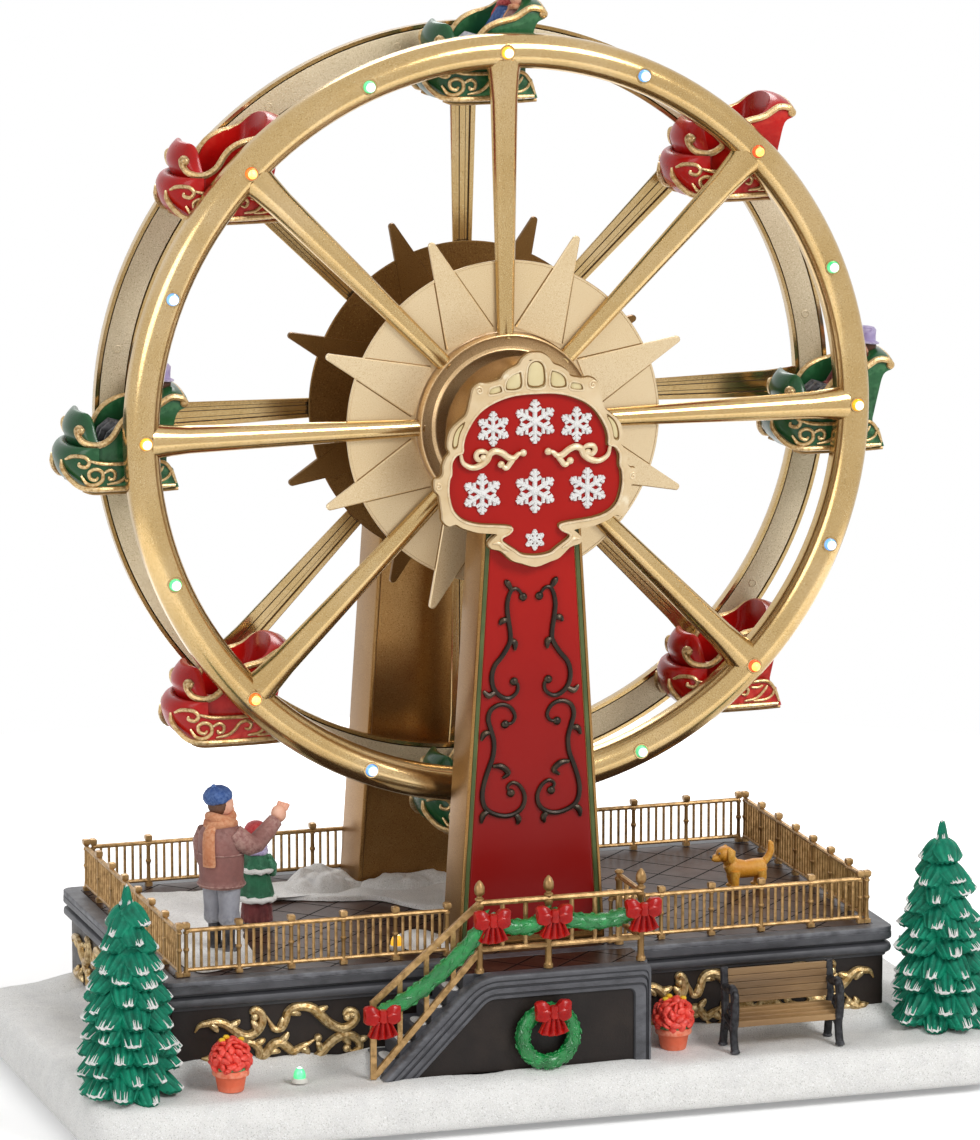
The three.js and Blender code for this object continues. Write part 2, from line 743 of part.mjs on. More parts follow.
function landingRail() {
  const y = landing_rail_y;
  const at = (x, z) => new THREE.Vector3(x, y, z);
  const parts = [];
  for (const x of landing_posts_x) {
    parts.push(turnedUp([[0, 0], [landing_post_radius, 0], [landing_post_radius, landing_rail_height],
      [landing_finial_radius, landing_rail_height + landing_finial_height / 2],
      [0, landing_rail_height + landing_finial_height]], 4, x, y, landing_floor));
  }
  const [x0, x1, x2] = landing_posts_x;
  const low_z = landing_floor + landing_rail_low;
  parts.push(bar(at(x0, landing_rail_top), at(x2, landing_rail_top), landing_bar_radius, 4));
  parts.push(bar(at(x0, low_z), at(x2, low_z), landing_bar_radius, 4));
  const upright = (x, from, to) => parts.push(bar(at(x, from), at(x, to), landing_bar_radius, 4));
  for (let i = 1; i <= landing_bars_left; i += 1) {
    upright(x0 + (x1 - x0) * i / (landing_bars_left + 1), low_z, landing_rail_top);
  }
  for (let i = 1; i <= landing_bars_right; i += 1) {
    upright(x1 + (x2 - x1) * i / (landing_bars_right + 1), low_z, landing_rail_top);
  }
  const foot_top = stair_floor + stair_rail_height;
  parts.push(bar(at(stair_foot_x, stair_floor), at(stair_foot_x, foot_top), landing_post_radius, 4));
  parts.push(bar(at(stair_foot_x, foot_top), at(x0, landing_rail_top), landing_bar_radius, 4));
  const foot_low = stair_floor + landing_bar_radius;
  parts.push(bar(at(stair_foot_x, foot_low + landing_bar_radius), at(x0, low_z), landing_bar_radius, 4));
  for (let i = 1; i <= stair_bars; i += 1) {
    const share = i / (stair_bars + 1);
    upright(stair_foot_x + stair_run * share, foot_low + (low_z - foot_low) * share,
      foot_top + (landing_rail_top - foot_top) * share);
  }
  const across = (y, z) => new THREE.Vector3(x2, y, z);
  const end = plinth_front + rail_inset - rail_thickness / 2 - landing_post_radius - seat_gap;
  parts.push(bar(across(end, landing_floor), across(end, landing_rail_top + landing_post_radius),
    landing_post_radius, 4));
  parts.push(bar(across(y, landing_rail_top), across(end, landing_rail_top), landing_bar_radius, 4));
  parts.push(bar(across(y, low_z), across(end, low_z), landing_bar_radius, 4));
  for (let i = 1; i <= landing_return_bars; i += 1) {
    const place = y + (end - y) * i / (landing_return_bars + 1);
    parts.push(bar(across(place, low_z), across(place, landing_rail_top), landing_bar_radius, 4));
  }
  return joined(parts);
}

// Garland that swags in front of the railing, with a bow at each end and post

function bow(x, y, z) {
  const loops = [1, -1].map((way) => loft([[0, 0.3, 0.14], [0.5, 0.5, 0.45]].map(([along, deep, tall]) => (
    [[-1, -1], [1, -1], [1, 1], [-1, 1]].map(([sy, sz]) => new THREE.Vector3(x + way * bow_width * along,
      y + sy * bow_thickness * deep, z + sz * bow_height * tall))))));
  const tails = loft([[0, 0.16], [1, 0.36]].map(([drop, wide]) => [[-1, -1], [1, -1], [1, 1], [-1, 1]]
    .map(([sx, sy]) => new THREE.Vector3(x + sx * bow_width * wide, y + sy * bow_thickness * 0.3,
      z - drop * bow_tail))));
  return joined([...loops, tails]);
}

function garland() {
  const y = landing_rail_y - landing_post_radius - garland_radius - seat_gap;
  const [x0, x1, x2] = landing_posts_x;
  const hang = landing_rail_top - 1.6 * garland_radius;
  const foot_top = stair_floor + stair_rail_height;
  const bows = [[stair_foot_x + landing_post_radius, foot_top - garland_radius], [x0 + 2 * landing_post_radius, hang],
    [x1, hang], [x2 - landing_post_radius, hang]];
  const parts = bows.map(([x, z]) => bow(x, y, z));
  for (let i = 0; i + 1 < bows.length; i += 1) {
    const [ax, az] = bows[i];
    const [bx, bz] = bows[i + 1];
    const points = [0, 0.25, 0.5, 0.75, 1].map((share) => new THREE.Vector3(ax + (bx - ax) * share, y,
      az + (bz - az) * share - 4 * garland_sag * share * (1 - share)));
    parts.push(tube(points, garland_radius, 5, 4));
  }
  return joined(parts);
}

function wreath() {
  const x = (landing_foot_left + landing_right) / 2 + landing_pilaster * 1.5;
  const z = base_top + wreath_radius + wreath_tube + seat_gap;
  const y = landing_front + landing_recess - wreath_tube - seat_gap;
  const ring = new THREE.TorusGeometry(wreath_radius, wreath_tube, 5, 12);
  ring.rotateX(Math.PI / 2);
  ring.translate(x, y, z);
  return joined([solidOf(ring), bow(x, y - wreath_tube / 2, z + wreath_radius)]);
}

function addLanding(group) {
  addPiece(group, 'landing_block', landingBlock(), slate);
  addPiece(group, 'rail_landing', landingRail(), gold);
  addPiece(group, 'garland', garland(), garland_green);
  addPiece(group, 'wreath', wreath(), garland_green);
}

// Trees, pots, bench and spot lamps on the snow

function tree(x, y) {
  const profile = [[0, 0], [tree_radius * 0.24, 0], [tree_radius * 0.24, tree_height * 0.06]];
  for (let tier = 0; tier < tree_tiers; tier += 1) {
    const share = tier / tree_tiers;
    const low = tree_height * (0.06 + 0.84 * share);
    const skirt = tree_radius * (1 - share * 0.93);
    profile.push([skirt, low - tree_height * 0.03 * (1 - share)]);
    profile.push([skirt * 0.72, low + tree_height * 0.075]);
  }
  profile.push([0, tree_height]);
  return turnedUp(profile, 9, x, y, base_top + seat_gap);
}

function flowerPot(x, y) {
  const rim = pot_radius * 1.08;
  return turnedUp([[0, 0], [pot_radius * 0.74, 0], [pot_radius * 0.95, pot_height * 0.74],
    [rim, pot_height * 0.74], [rim, pot_height], [pot_flower_radius * 0.94, pot_height + pot_flower_height * 0.25],
    [pot_flower_radius, pot_height + pot_flower_height * 0.5],
    [pot_flower_radius * 0.6, pot_height + pot_flower_height * 0.9], [0, pot_height + pot_flower_height]],
  10, x, y, base_top + seat_gap);
}

// Bench with cast iron ends, a slab seat and a slab back
function bench() {
  const floor = base_top + seat_gap;
  const front = bench_y - bench_depth / 2;
  const back = bench_y + bench_depth / 2;
  const seat_z = floor + bench_seat_height;
  const ends = [-1, 1].map((side) => {
    const outer = bench_x + side * bench_width / 2;
    const inner = outer - side * bench_end;
    const [x0, x1] = [Math.min(outer, inner), Math.max(outer, inner)];
    return joined([
      box(x0, x1, front, front + bench_end, floor, seat_z + bench_seat_height / 2),
      box(x0, x1, back - bench_end, back, floor, floor + bench_height),
      box(x0, x1, front, back, seat_z - 2 * bench_board, seat_z - bench_board / 2),
      box(x0, x1, front, back, seat_z + bench_seat_height / 2, seat_z + bench_seat_height / 2 + bench_board),
    ]);
  });
  const left = bench_x - bench_width / 2 + bench_end / 2;
  const right = bench_x + bench_width / 2 - bench_end / 2;
  const seat = box(left, right, front + bench_end / 2, back - bench_end / 2, seat_z - bench_board, seat_z);
  const rest = box(left, right, back - bench_end, back - bench_end + bench_board, seat_z + bench_back_gap,
    floor + bench_height - bench_board / 2);
  return joined([...ends, seat, rest]);
}

function spotLamp(x, y, floor) {
  return turnedUp([[0, 0], [spot_radius, 0], [spot_radius, spot_height * 0.4], [spot_radius * 0.78, spot_height * 0.4],
    [spot_radius * 0.78, spot_height * 0.75], [0, spot_height]], 8, x, y, floor + seat_gap);
}

function addGarden(group) {
  addPiece(group, 'tree_left', tree(-tree_x, tree_left_y), leaf_green);
  addPiece(group, 'tree_right', tree(tree_x, tree_right_y), leaf_green);
  addPiece(group, 'flowerpot_left', flowerPot(pot_left_x, pot_left_y), terracotta);
  addPiece(group, 'flowerpot_right', flowerPot(pot_right_x, pot_right_y), terracotta);
  addPiece(group, 'bench', bench(), wood_brown);
  addPiece(group, 'lamp_green', spotLamp(green_lamp_x, green_lamp_y, base_top), lamp_glow);
  addPiece(group, 'lamp_yellow', spotLamp(yellow_lamp_x, yellow_lamp_y, deck_top), lamp_glow);
}

// Figures on the deck

const figure_floor = deck_top + deck_snow_thickness + 2 * seat_gap;

function manFigure() {
  const h = man_height;
  const at = (x, y, z) => new THREE.Vector3(man_x + x * h, man_y + y * h, figure_floor + z * h);
  const legs = [-1, 1].map((side) => turnedUp([[0, 0], [h * 0.07, 0], [h * 0.055, h * 0.08], [h * 0.062, h * 0.48],
    [0, h * 0.5]], 6, man_x + side * h * 0.055, man_y, figure_floor));
  const coat = turnedUp([[0, h * 0.36], [h * 0.125, h * 0.36], [h * 0.135, h * 0.5], [h * 0.13, h * 0.7],
    [h * 0.05, h * 0.82], [0, h * 0.84]], 8, man_x, man_y, figure_floor);
  const head = ellipsoid(man_x, man_y, figure_floor + h * 0.89, h * 0.062, h * 0.062, h * 0.075);
  const beret = turnedUp([[0, h * 0.92], [h * 0.085, h * 0.935], [h * 0.08, h * 0.97], [0, h]], 8, man_x, man_y,
    figure_floor);
  const raised_arm = joined([bar(at(0.1, 0, 0.74), at(0.24, -0.03, 0.6), h * 0.042, 5),
    bar(at(0.22, -0.03, 0.58), at(0.4, -0.03, 0.76), h * 0.034, 5)]);
  const other_arm = bar(at(-0.1, 0, 0.74), at(-0.13, 0, 0.46), h * 0.042, 5);
  return joined([...legs, coat, head, beret, raised_arm, other_arm]);
}

function girlFigure() {
  const h = girl_height;
  const dress = turnedUp([[0, 0], [h * 0.17, 0], [h * 0.15, h * 0.16], [h * 0.2, h * 0.18], [h * 0.15, h * 0.36],
    [h * 0.17, h * 0.38], [h * 0.1, h * 0.6], [h * 0.12, h * 0.68], [0, h * 0.8]], 8,
  girl_x, girl_y, figure_floor);
  const head = ellipsoid(girl_x, girl_y, figure_floor + h * 0.87, h * 0.1, h * 0.1, h * 0.12);
  const arms = [-1, 1].map((side) => bar(new THREE.Vector3(girl_x + side * h * 0.1, girl_y, figure_floor + h * 0.7),
    new THREE.Vector3(girl_x + side * h * 0.22, girl_y, figure_floor + h * 0.44), h * 0.05, 5));
  return joined([dress, head, ...arms]);
}

function dogFigure() {
  const floor = deck_top + seat_gap;
  const h = dog_height;
  const l = dog_length;
  const body = ellipsoid(dog_x, dog_y, floor + h * 0.52, l * 0.38, l * 0.17, h * 0.24);
  const head = ellipsoid(dog_x - l * 0.38, dog_y, floor + h * 0.82, l * 0.15, l * 0.13, h * 0.2);
  const snout = ellipsoid(dog_x - l * 0.5, dog_y, floor + h * 0.76, l * 0.09, l * 0.07, h * 0.1, 5, 3);
  const tail = bar(new THREE.Vector3(dog_x + l * 0.32, dog_y, floor + h * 0.6),
    new THREE.Vector3(dog_x + l * 0.5, dog_y, floor + h * 1.1), l * 0.05, 5);
  const neck = bar(new THREE.Vector3(dog_x - l * 0.24, dog_y, floor + h * 0.55),
    new THREE.Vector3(dog_x - l * 0.36, dog_y, floor + h * 0.8), l * 0.11, 5);
  const legs = [[-1, -1], [-1, 1], [1, -1], [1, 1]].map(([sx, sy]) => box(dog_x + sx * l * 0.26 - l * 0.05,
    dog_x + sx * l * 0.26 + l * 0.05, dog_y + sy * l * 0.09 - l * 0.045, dog_y + sy * l * 0.09 + l * 0.045,
    floor, floor + h * 0.5));
  return joined([body, head, snout, tail, neck, ...legs]);
}

function addFigures(group) {
  addPiece(group, 'man_figure', manFigure(), coat_brown);
  addPiece(group, 'girl_figure', girlFigure(), dress_green);
  addPiece(group, 'dog_figure', dogFigure(), dog_gold);
}

// Towers. Each is built about the axle: x across, z up from the axle, y outwards from the wheel.

const tower_foot = deck_top + seat_gap - axle_height;
const axle_place = [axle_x, axle_y, axle_height];

// A round head on a tapered column, between two depths; inset draws every edge in
function towerBody(foot_half, neck_half, head_radius, inset, low, y0, y1) {
  const taper = (foot_half - neck_half) / -tower_foot;
  const at = (z) => neck_half - z * taper - inset;
  const column = plate([[-at(low), low], [at(low), low], [at(0), 0], [-at(0), 0]], y0, y1);
  return column.add(cylinderY(head_radius - inset, y0, y1, 28));
}

function bearingSeat(y0, y1) {
  return cylinderY(bearing_radius + seat_gap, y0 - cut_overrun, y1 + cut_overrun, 16);
}

const front_far = tower_gap + front_tower_depth;
const front_back_plate = tower_gap + tower_plate;

function frontTowerShell() {
  const spec = [front_tower_foot_half, front_tower_neck_half, front_tower_head_radius];
  const shell = towerBody(...spec, 0, tower_foot, tower_gap, front_far);
  const hollow = towerBody(...spec, tower_wall, tower_foot - cut_overrun, tower_gap - cut_overrun,
    front_far - tower_wall - panel_recess);
  return shell.subtract(hollow).subtract(frontPanelSolid(0, panel_recess, cut_overrun));
}

// The red panel's tapered shape on the column's front, also used to cut its recess
function frontPanelSolid(inset, thickness, overrun) {
  const taper = (front_tower_foot_half - front_tower_neck_half) / -tower_foot;
  const half = (z) => front_tower_neck_half - z * taper - panel_border - inset;
  const low = tower_foot + panel_border + inset;
  const high = -front_tower_neck_half - inset;
  return plate([[-half(low), low], [half(low), low], [half(high), high], [-half(high), high]],
    front_far - panel_recess, front_far - panel_recess + thickness + overrun);
}

function frontTowerBack() {
  const spec = [front_tower_foot_half, front_tower_neck_half, front_tower_head_radius];
  const inset = tower_wall + seat_gap;
  return towerBody(...spec, inset, tower_foot, tower_gap, front_back_plate)
    .subtract(bearingSeat(tower_gap, front_back_plate));
}

const rear_far = tower_gap + rear_tower_depth;

function rearTowerShell() {
  const spec = [rear_tower_foot_half, rear_tower_neck_half, rear_tower_head_radius];
  const shell = towerBody(...spec, 0, tower_foot, tower_gap, rear_far);
  const hollow = towerBody(...spec, tower_wall, tower_foot + tower_wall, tower_gap + tower_wall,
    rear_far + cut_overrun);
  return shell.subtract(hollow).subtract(bearingSeat(tower_gap, tower_gap + tower_wall));
}

function rearTowerCover() {
  const spec = [rear_tower_foot_half, rear_tower_neck_half, rear_tower_head_radius];
  return towerBody(...spec, tower_wall + seat_gap, tower_foot + tower_wall + seat_gap, rear_far - tower_plate,
    rear_far);
}

// A flanged bush: the flange lies on the inner side of the tower wall that starts at y
function bearing(wall_start, wall_thickness) {
  const inner = axle_radius + running_gap;
  const flange_start = wall_start + wall_thickness + seat_gap;
  return turned([[inner, wall_start], [bearing_radius, wall_start], [bearing_radius, flange_start],
    [bearing_flange_radius, flange_start], [bearing_flange_radius, flange_start + bearing_flange_thickness],
    [inner, flange_start + bearing_flange_thickness]], 16);
}

// Geared motor in the rear tower, below the drive gear
const gear_radius = gear_module * gear_teeth / 2;
const pinion_radius = gear_module * pinion_teeth / 2;
const gear_y = tower_gap + tower_wall + bearing_flange_thickness + 3 * seat_gap;
const pinion_z = -(gear_radius + pinion_radius);
const motor_front = gear_y + gear_width + 2 * seat_gap;
const motor_back = rear_far - tower_plate - seat_gap;

function gearMotor() {
  const body = box(-motor_width / 2, motor_width / 2, motor_front, motor_back, pinion_z - motor_height + motor_width / 2,
    pinion_z + motor_width / 2);
  const can = turnedUp([[0, 0], [motor_can_radius, 0], [motor_can_radius, motor_height],
    [0, motor_height]], 12, 0, (motor_front + motor_back) / 2, pinion_z - 1.9 * motor_height + motor_width / 2);
  const socket = cylinderY(motor_shaft_radius + running_gap, motor_front - cut_overrun,
    motor_front + motor_shaft_length + seat_gap, 12, 0, pinion_z);
  return body.add(can).subtract(socket);
}

function addTowers(group) {
  const front = new THREE.Group();
  front.position.set(...axle_place);
  front.rotation.z = Math.PI;
  group.add(front);
  addPiece(front, 'front_tower_shell', frontTowerShell(), gold);
  addPiece(front, 'front_tower_back', frontTowerBack(), gold);
  addPiece(front, 'front_tower_panel', frontPanelSolid(seat_gap, panel_thickness, 0)
    .translate([0, panel_recess - panel_thickness, 0]), panel_red);
  addPiece(front, 'sign_board', signBoard(), cream_gold);
  addPiece(front, 'front_bearing', bearing(tower_gap, tower_plate), white_plastic);
  addPiece(front, 'brush_block', brushBlock(), white_plastic);
  const rear = new THREE.Group();
  rear.position.set(...axle_place);
  group.add(rear);
  addPiece(rear, 'rear_tower_shell', rearTowerShell(), gold);
  addPiece(rear, 'rear_tower_cover', rearTowerCover(), gold);
  addPiece(rear, 'rear_bearing', bearing(tower_gap, tower_wall), white_plastic);
  addPiece(rear, 'gear_motor', gearMotor(), steel);
}

// Sign board: a scrolled frame round a sunk field, plain, with a crown on top

const sign_right_shares = [[0, 0.5], [0.12, 0.46], [0.17, 0.38], [0.27, 0.33], [0.31, 0.27], [0.37, 0.31],
  [0.41, 0.27], [0.4, 0.18], [0.46, 0.08], [0.46, 0], [0.44, -0.04], [0.47, -0.1], [0.5, -0.13], [0.48, -0.17],
  [0.46, -0.23], [0.45, -0.28], [0.38, -0.3], [0.28, -0.33], [0.19, -0.34], [0.2, -0.39], [0.13, -0.42],
  [0.07, -0.47], [0, -0.5]];

function signOutline(inset) {
  const right = sign_right_shares.map(([x, z]) => [x * (sign_width - 2 * inset), z * (sign_height - 2 * inset)]);
  const left = right.slice(1, -1).reverse().map(([x, z]) => [-x, z]);
  return [...right, ...left];
}

function signField() {
  const half_x = sign_width / 2 - sign_frame_width;
  const shares = [[0.62, 0.46], [0.86, 0.2], [0.8, -0.02], [0.93, -0.14], [0.9, -0.44], [0.7, -0.6], [0.34, -0.66],
    [0.26, -0.8], [0, -0.92]];
  const right = shares.map(([x, z]) => [x * half_x, z * (sign_height / 2)]);
  const crown = [[0.34, 0.58], [0, 0.63]].map(([x, z]) => [x * half_x, z * (sign_height / 2)]);
  const half = [crown[1], crown[0], ...right];
  const left = half.slice(1, -1).reverse().map(([x, z]) => [-x, z]);
  return [...half, ...left];
}

function signBoard() {
  const back = front_far + seat_gap;
  const face = back + sign_thickness;
  return plate(signOutline(0), back, face)
    .subtract(plate(signField(), face - sign_field_depth, face + cut_overrun))
    .translate([0, 0, -sign_drop]);
}

// Slip ring brushes on the front tower's back plate
const slip_ring_y = front_back_plate + bearing_flange_thickness + 3 * seat_gap;

function brushBlock() {
  const near = slip_ring_radius + running_gap;
  return box(near, near + brush_width, front_back_plate + seat_gap, slip_ring_y + slip_ring_width,
    -brush_height / 2, brush_height / 2)
    .subtract(cylinderY(bearing_flange_radius + seat_gap, front_back_plate, slip_ring_y - seat_gap, 24));
}

// Wheel. Each side is built with y outwards from the wheel's middle plane.

function roundAngle(i, count, offset = 0) {
  return ((i + offset) / count) * Math.PI * 2;
}

function rimProfile() {
  const crown_height = rim_crown - rim_inner_face - rim_straight;
  const profile = [[rim_radius - rim_half_width, rim_inner_face], [rim_radius + rim_half_width, rim_inner_face]];
  for (let i = 0; i <= 4; i += 1) {
    const turn = (i / 4) * Math.PI;
    profile.push([rim_radius + rim_half_width * Math.cos(turn),
      rim_inner_face + rim_straight + crown_height * Math.sin(turn)]);
  }
  return profile;
}

// One tapered spoke along +Z: half round outside, a shallow groove inside
function spoke() {
  const section = (half_width, height, z) => {
    const base = rim_crown - height;
    const groove = half_width * spoke_groove_share;
    const outline = [[-groove, base], [-groove, base + spoke_groove_depth], [groove, base + spoke_groove_depth],
      [groove, base], [half_width, base]];
    for (let i = 1; i < 4; i += 1) {
      const turn = (i / 4) * Math.PI;
      outline.push([half_width * Math.cos(turn), base + height * Math.sin(turn)]);
    }
    outline.push([-half_width, base]);
    return outline.map(([x, y]) => new THREE.Vector3(x, y, z));
  };
  const inner = section(spoke_half_width_at_hub, spoke_height_at_hub, hub_radius - hub_band / 2);
  const outer = section(spoke_half_width_at_rim, spoke_height_at_rim, rim_radius);
  const count = inner.length;
  const caps = THREE.ShapeUtils.triangulateShape(inner.map((p) => new THREE.Vector2(p.x, p.y)), []);
  const index = [];
  for (let i = 0; i < count; i += 1) {
    const next = (i + 1) % count;
    index.push(i, next, count + next, i, count + next, count + i);
  }
  for (const [a, b, c] of caps) index.push(c, b, a, count + a, count + b, count + c);
  const geometry = new THREE.BufferGeometry();
  geometry.setAttribute('position', new THREE.Float32BufferAttribute([...inner, ...outer]
    .flatMap((p) => [p.x, p.y, p.z]), 3));
  geometry.setIndex(index);
  return solidOf(geometry);
}

function hub() {
  const bore = axle_radius + seat_gap;
  const floor_top = rim_inner_face + hub_floor_thickness;
  return turned([[bore, rim_inner_face], [hub_radius, rim_inner_face], [hub_radius, hub_crown],
    [hub_radius - hub_band, hub_crown], [hub_radius - hub_band, floor_top], [hub_boss_radius, floor_top],
    [hub_boss_radius, rim_inner_face + hub_boss_length], [bore, rim_inner_face + hub_boss_length]], 16);
}

function spoked(make, count, offset = 0) {
  const copies = [];
  for (let i = 0; i < count; i += 1) copies.push(make().rotate([0, roundAngle(i, count, offset) * 180 / Math.PI, 0]));
  return copies;
}

// Channel in the rim's inner side, which holds the lamp string and the cover
function rimChannel() {
  return turned([[rim_radius - rim_channel_half_width, rim_inner_face - cut_overrun],
    [rim_radius + rim_channel_half_width, rim_inner_face - cut_overrun],
    [rim_radius + rim_channel_half_width, rim_inner_face],
    [rim_radius + rim_channel_roof_half_width, rim_inner_face + rim_channel_depth],
    [rim_radius - rim_channel_roof_half_width, rim_inner_face + rim_channel_depth],
    [rim_radius - rim_channel_half_width, rim_inner_face]], rim_segments);
}

function wheelSide(with_lamps) {
  const body = joined([turned(rimProfile(), rim_segments), hub(), ...spoked(spoke, sleigh_count)])
    .subtract(rimChannel());
  if (!with_lamps) return body;
  const hole = () => cylinderY(lamp_radius + seat_gap, rim_inner_face + rim_channel_depth - cut_overrun,
    rim_crown + cut_overrun, 6, 0, rim_radius);
  return body.subtract(joined(spoked(hole, lamp_count)));
}

// Flat ring that closes the channel, with a hole for each sleigh pin
function rimCover() {
  const low = rim_inner_face + seat_gap;
  const draft = (rim_channel_half_width - rim_channel_roof_half_width) / rim_channel_depth;
  const half = rim_channel_half_width - draft * (seat_gap + rim_cover_thickness) - seat_gap;
  const inner = rim_radius - half;
  const outer = rim_radius + half;
  const ring = turned([[inner, low], [outer, low], [outer, low + rim_cover_thickness],
    [inner, low + rim_cover_thickness]], rim_segments);
  const hole_radius = (sleigh_pin_radius + running_gap) / Math.cos(Math.PI / 6);
  const hole = () => cylinderY(hole_radius, low - cut_overrun, low + rim_cover_thickness + cut_overrun, 6, 0,
    rim_radius);
  return ring.subtract(joined(spoked(hole, sleigh_count)));
}

// Pressed plate with eight rays that run out past the disc
function sunburst() {
  const inner = (hub_radius + seat_gap) / Math.cos(Math.PI / sunburst_segments);
  const disc = turned([[inner, sunburst_face - sunburst_thickness], [sunburst_disc_radius, sunburst_face
    - sunburst_thickness], [sunburst_disc_radius, sunburst_face], [inner, sunburst_face]], sunburst_segments);
  const ray = () => loft([sunburst_face - sunburst_thickness, sunburst_face].map((y) => [
    new THREE.Vector3(-sunburst_root_half_width, y, sunburst_root_radius),
    new THREE.Vector3(sunburst_root_half_width, y, sunburst_root_radius),
    new THREE.Vector3(0, y, sunburst_tip_radius)]));
  return joined([disc, ...spoked(ray, sleigh_count, 0.5)]);
}

// Lamp string: a wire ring in the channel and a dome through each hole
function lampString() {
  const wire_low = rim_inner_face + seat_gap + rim_cover_thickness + sleigh_pin_reach;
  const half = lamp_wire_width / 2;
  const ring = turned([[rim_radius - half, wire_low], [rim_radius + half, wire_low],
    [rim_radius + half, wire_low + lamp_wire_thickness], [rim_radius - half, wire_low + lamp_wire_thickness]],
  2 * lamp_count);
  const lamp = () => {
    const low = wire_low + lamp_wire_thickness / 2;
    const tip = rim_crown + lamp_stand_out;
    return turned([[0, low], [lamp_radius, low], [lamp_radius, tip - lamp_radius * 0.6], [0, tip]], 6)
      .translate([0, 0, rim_radius]);
  };
  return joined([ring, ...spoked(lamp, lamp_count)]);
}

// Axle from the slip ring in the front tower to the drive gear in the rear tower
const axle_front = slip_ring_y + slip_ring_width + seat_gap;
const axle_rear = gear_y + gear_width + seat_gap;

function mainAxle() {
  const drum = rim_inner_face - seat_gap;
  return turned([[0, -axle_front], [axle_radius, -axle_front], [axle_radius, -drum], [axle_drum_radius, -drum],
    [axle_drum_radius, drum], [axle_radius, drum], [axle_radius, axle_rear], [0, axle_rear]], 16);
}

function slipRing() {
  const bore = axle_radius + seat_gap;
  return turned([[bore, slip_ring_y], [slip_ring_radius, slip_ring_y], [slip_ring_radius, slip_ring_y
    + slip_ring_width], [bore, slip_ring_y + slip_ring_width]], 16);
}

// A spur gear with straight sided teeth; phase turns it by a share of one tooth
function gear(teeth, phase, y0, y1, bore) {
  const pitch = gear_module * teeth / 2;
  const root = pitch - gear_module * gear_dedendum_share;
  const tip = pitch + gear_module * gear_addendum_share;
  const outline = [];
  for (let i = 0; i < teeth; i += 1) {
    for (const [radius, share] of [[root, -tooth_root_share], [tip, -tooth_tip_share], [tip, tooth_tip_share],
      [root, tooth_root_share]]) {
      const turn = (i + phase + share) * Math.PI * 2 / teeth;
      outline.push([radius * Math.cos(turn), radius * Math.sin(turn)]);
    }
  }
  const wheel = plate(outline, y0, y1);
  return bore ? wheel.subtract(cylinderY(bore, y0 - cut_overrun, y1 + cut_overrun, 16)) : wheel;
}

function driveGear() {
  return gear(gear_teeth, 0, gear_y, gear_y + gear_width, axle_radius + seat_gap);
}

// The pinion meshes straight below the gear, with a gap of its own facing a tooth of the gear
function motorPinion() {
  const facing = pinion_teeth / 4 + 0.5;
  const wheel = gear(pinion_teeth, facing - Math.round(facing), gear_y, gear_y + gear_width, 0);
  const shaft = cylinderY(motor_shaft_radius, gear_y + gear_width / 2, motor_front + motor_shaft_length, 12);
  return wheel.add(shaft).translate([0, 0, pinion_z]);
}

// Sleighs: a tub with a swept rim on a wider skirt, hung on two pins

const tub_shares = [[-0.452, -0.08], [-0.488, 0.057], [-0.462, 0.19], [-0.4, 0.265], [-0.342, 0.216],
  [-0.336, 0.08], [-0.267, -0.046], [-0.173, 0.022], [-0.115, 0.162], [0.019, 0.284], [0.154, 0.332],
  [0.279, 0.443], [0.4, 0.392], [0.404, 0.31], [0.327, 0.243], [0.279, 0], [0.24, -0.24], [0.24, -0.38],
  [-0.346, -0.38]];
const skirt_shares = [[-0.43, -0.551], [-0.52, -0.43], [-0.569, -0.243], [-0.548, -0.122], [-0.49, -0.081],
  [-0.433, -0.122], [-0.32, -0.25], [0.204, -0.249], [0.281, -0.346], [0.325, -0.551]];
const seat_shares = [[-0.34, 0.7], [-0.34, -0.07], [-0.25, -0.3], [0.15, -0.3], [0.21, 0], [0.27, 0.23],
  [0.3, 0.7]];

function sleighPlan(half_width, nose_share, start_share) {
  const outline = [[sleigh_length / 2, -half_width], [sleigh_length / 2, half_width]];
  const start = start_share * sleigh_length;
  const reach = start - nose_share * sleigh_length;
  for (let i = 0; i <= 6; i += 1) {
    const turn = Math.PI / 2 + (i / 6) * Math.PI;
    outline.push([start + reach * Math.cos(turn), half_width * Math.sin(turn)]);
  }
  return slab(outline, -sleigh_height, sleigh_height);
}

function sleighOutline(shares) {
  return shares.map(([x, z]) => [x * sleigh_length, z * sleigh_height]);
}

const rider_shares = { hip: [0.1, -0.2], shoulder: [0.25, 0.34], head: [0.245, 0.57], knee: [-0.09, 0.18],
  foot: [-0.26, -0.04] };

function rider(y) {
  const at = ([x, z]) => new THREE.Vector3(x * sleigh_length, y, z * sleigh_height);
  const head = at(rider_shares.head);
  return joined([
    bar(at(rider_shares.hip), at(rider_shares.shoulder), rider_chest_radius, 6),
    ellipsoid(head.x, y, head.z, rider_head_width, rider_head_width, rider_head_height),
    bar(at(rider_shares.hip), at(rider_shares.knee), rider_leg_radius, 4),
    bar(at(rider_shares.knee), at(rider_shares.foot), rider_leg_radius, 4),
  ]);
}

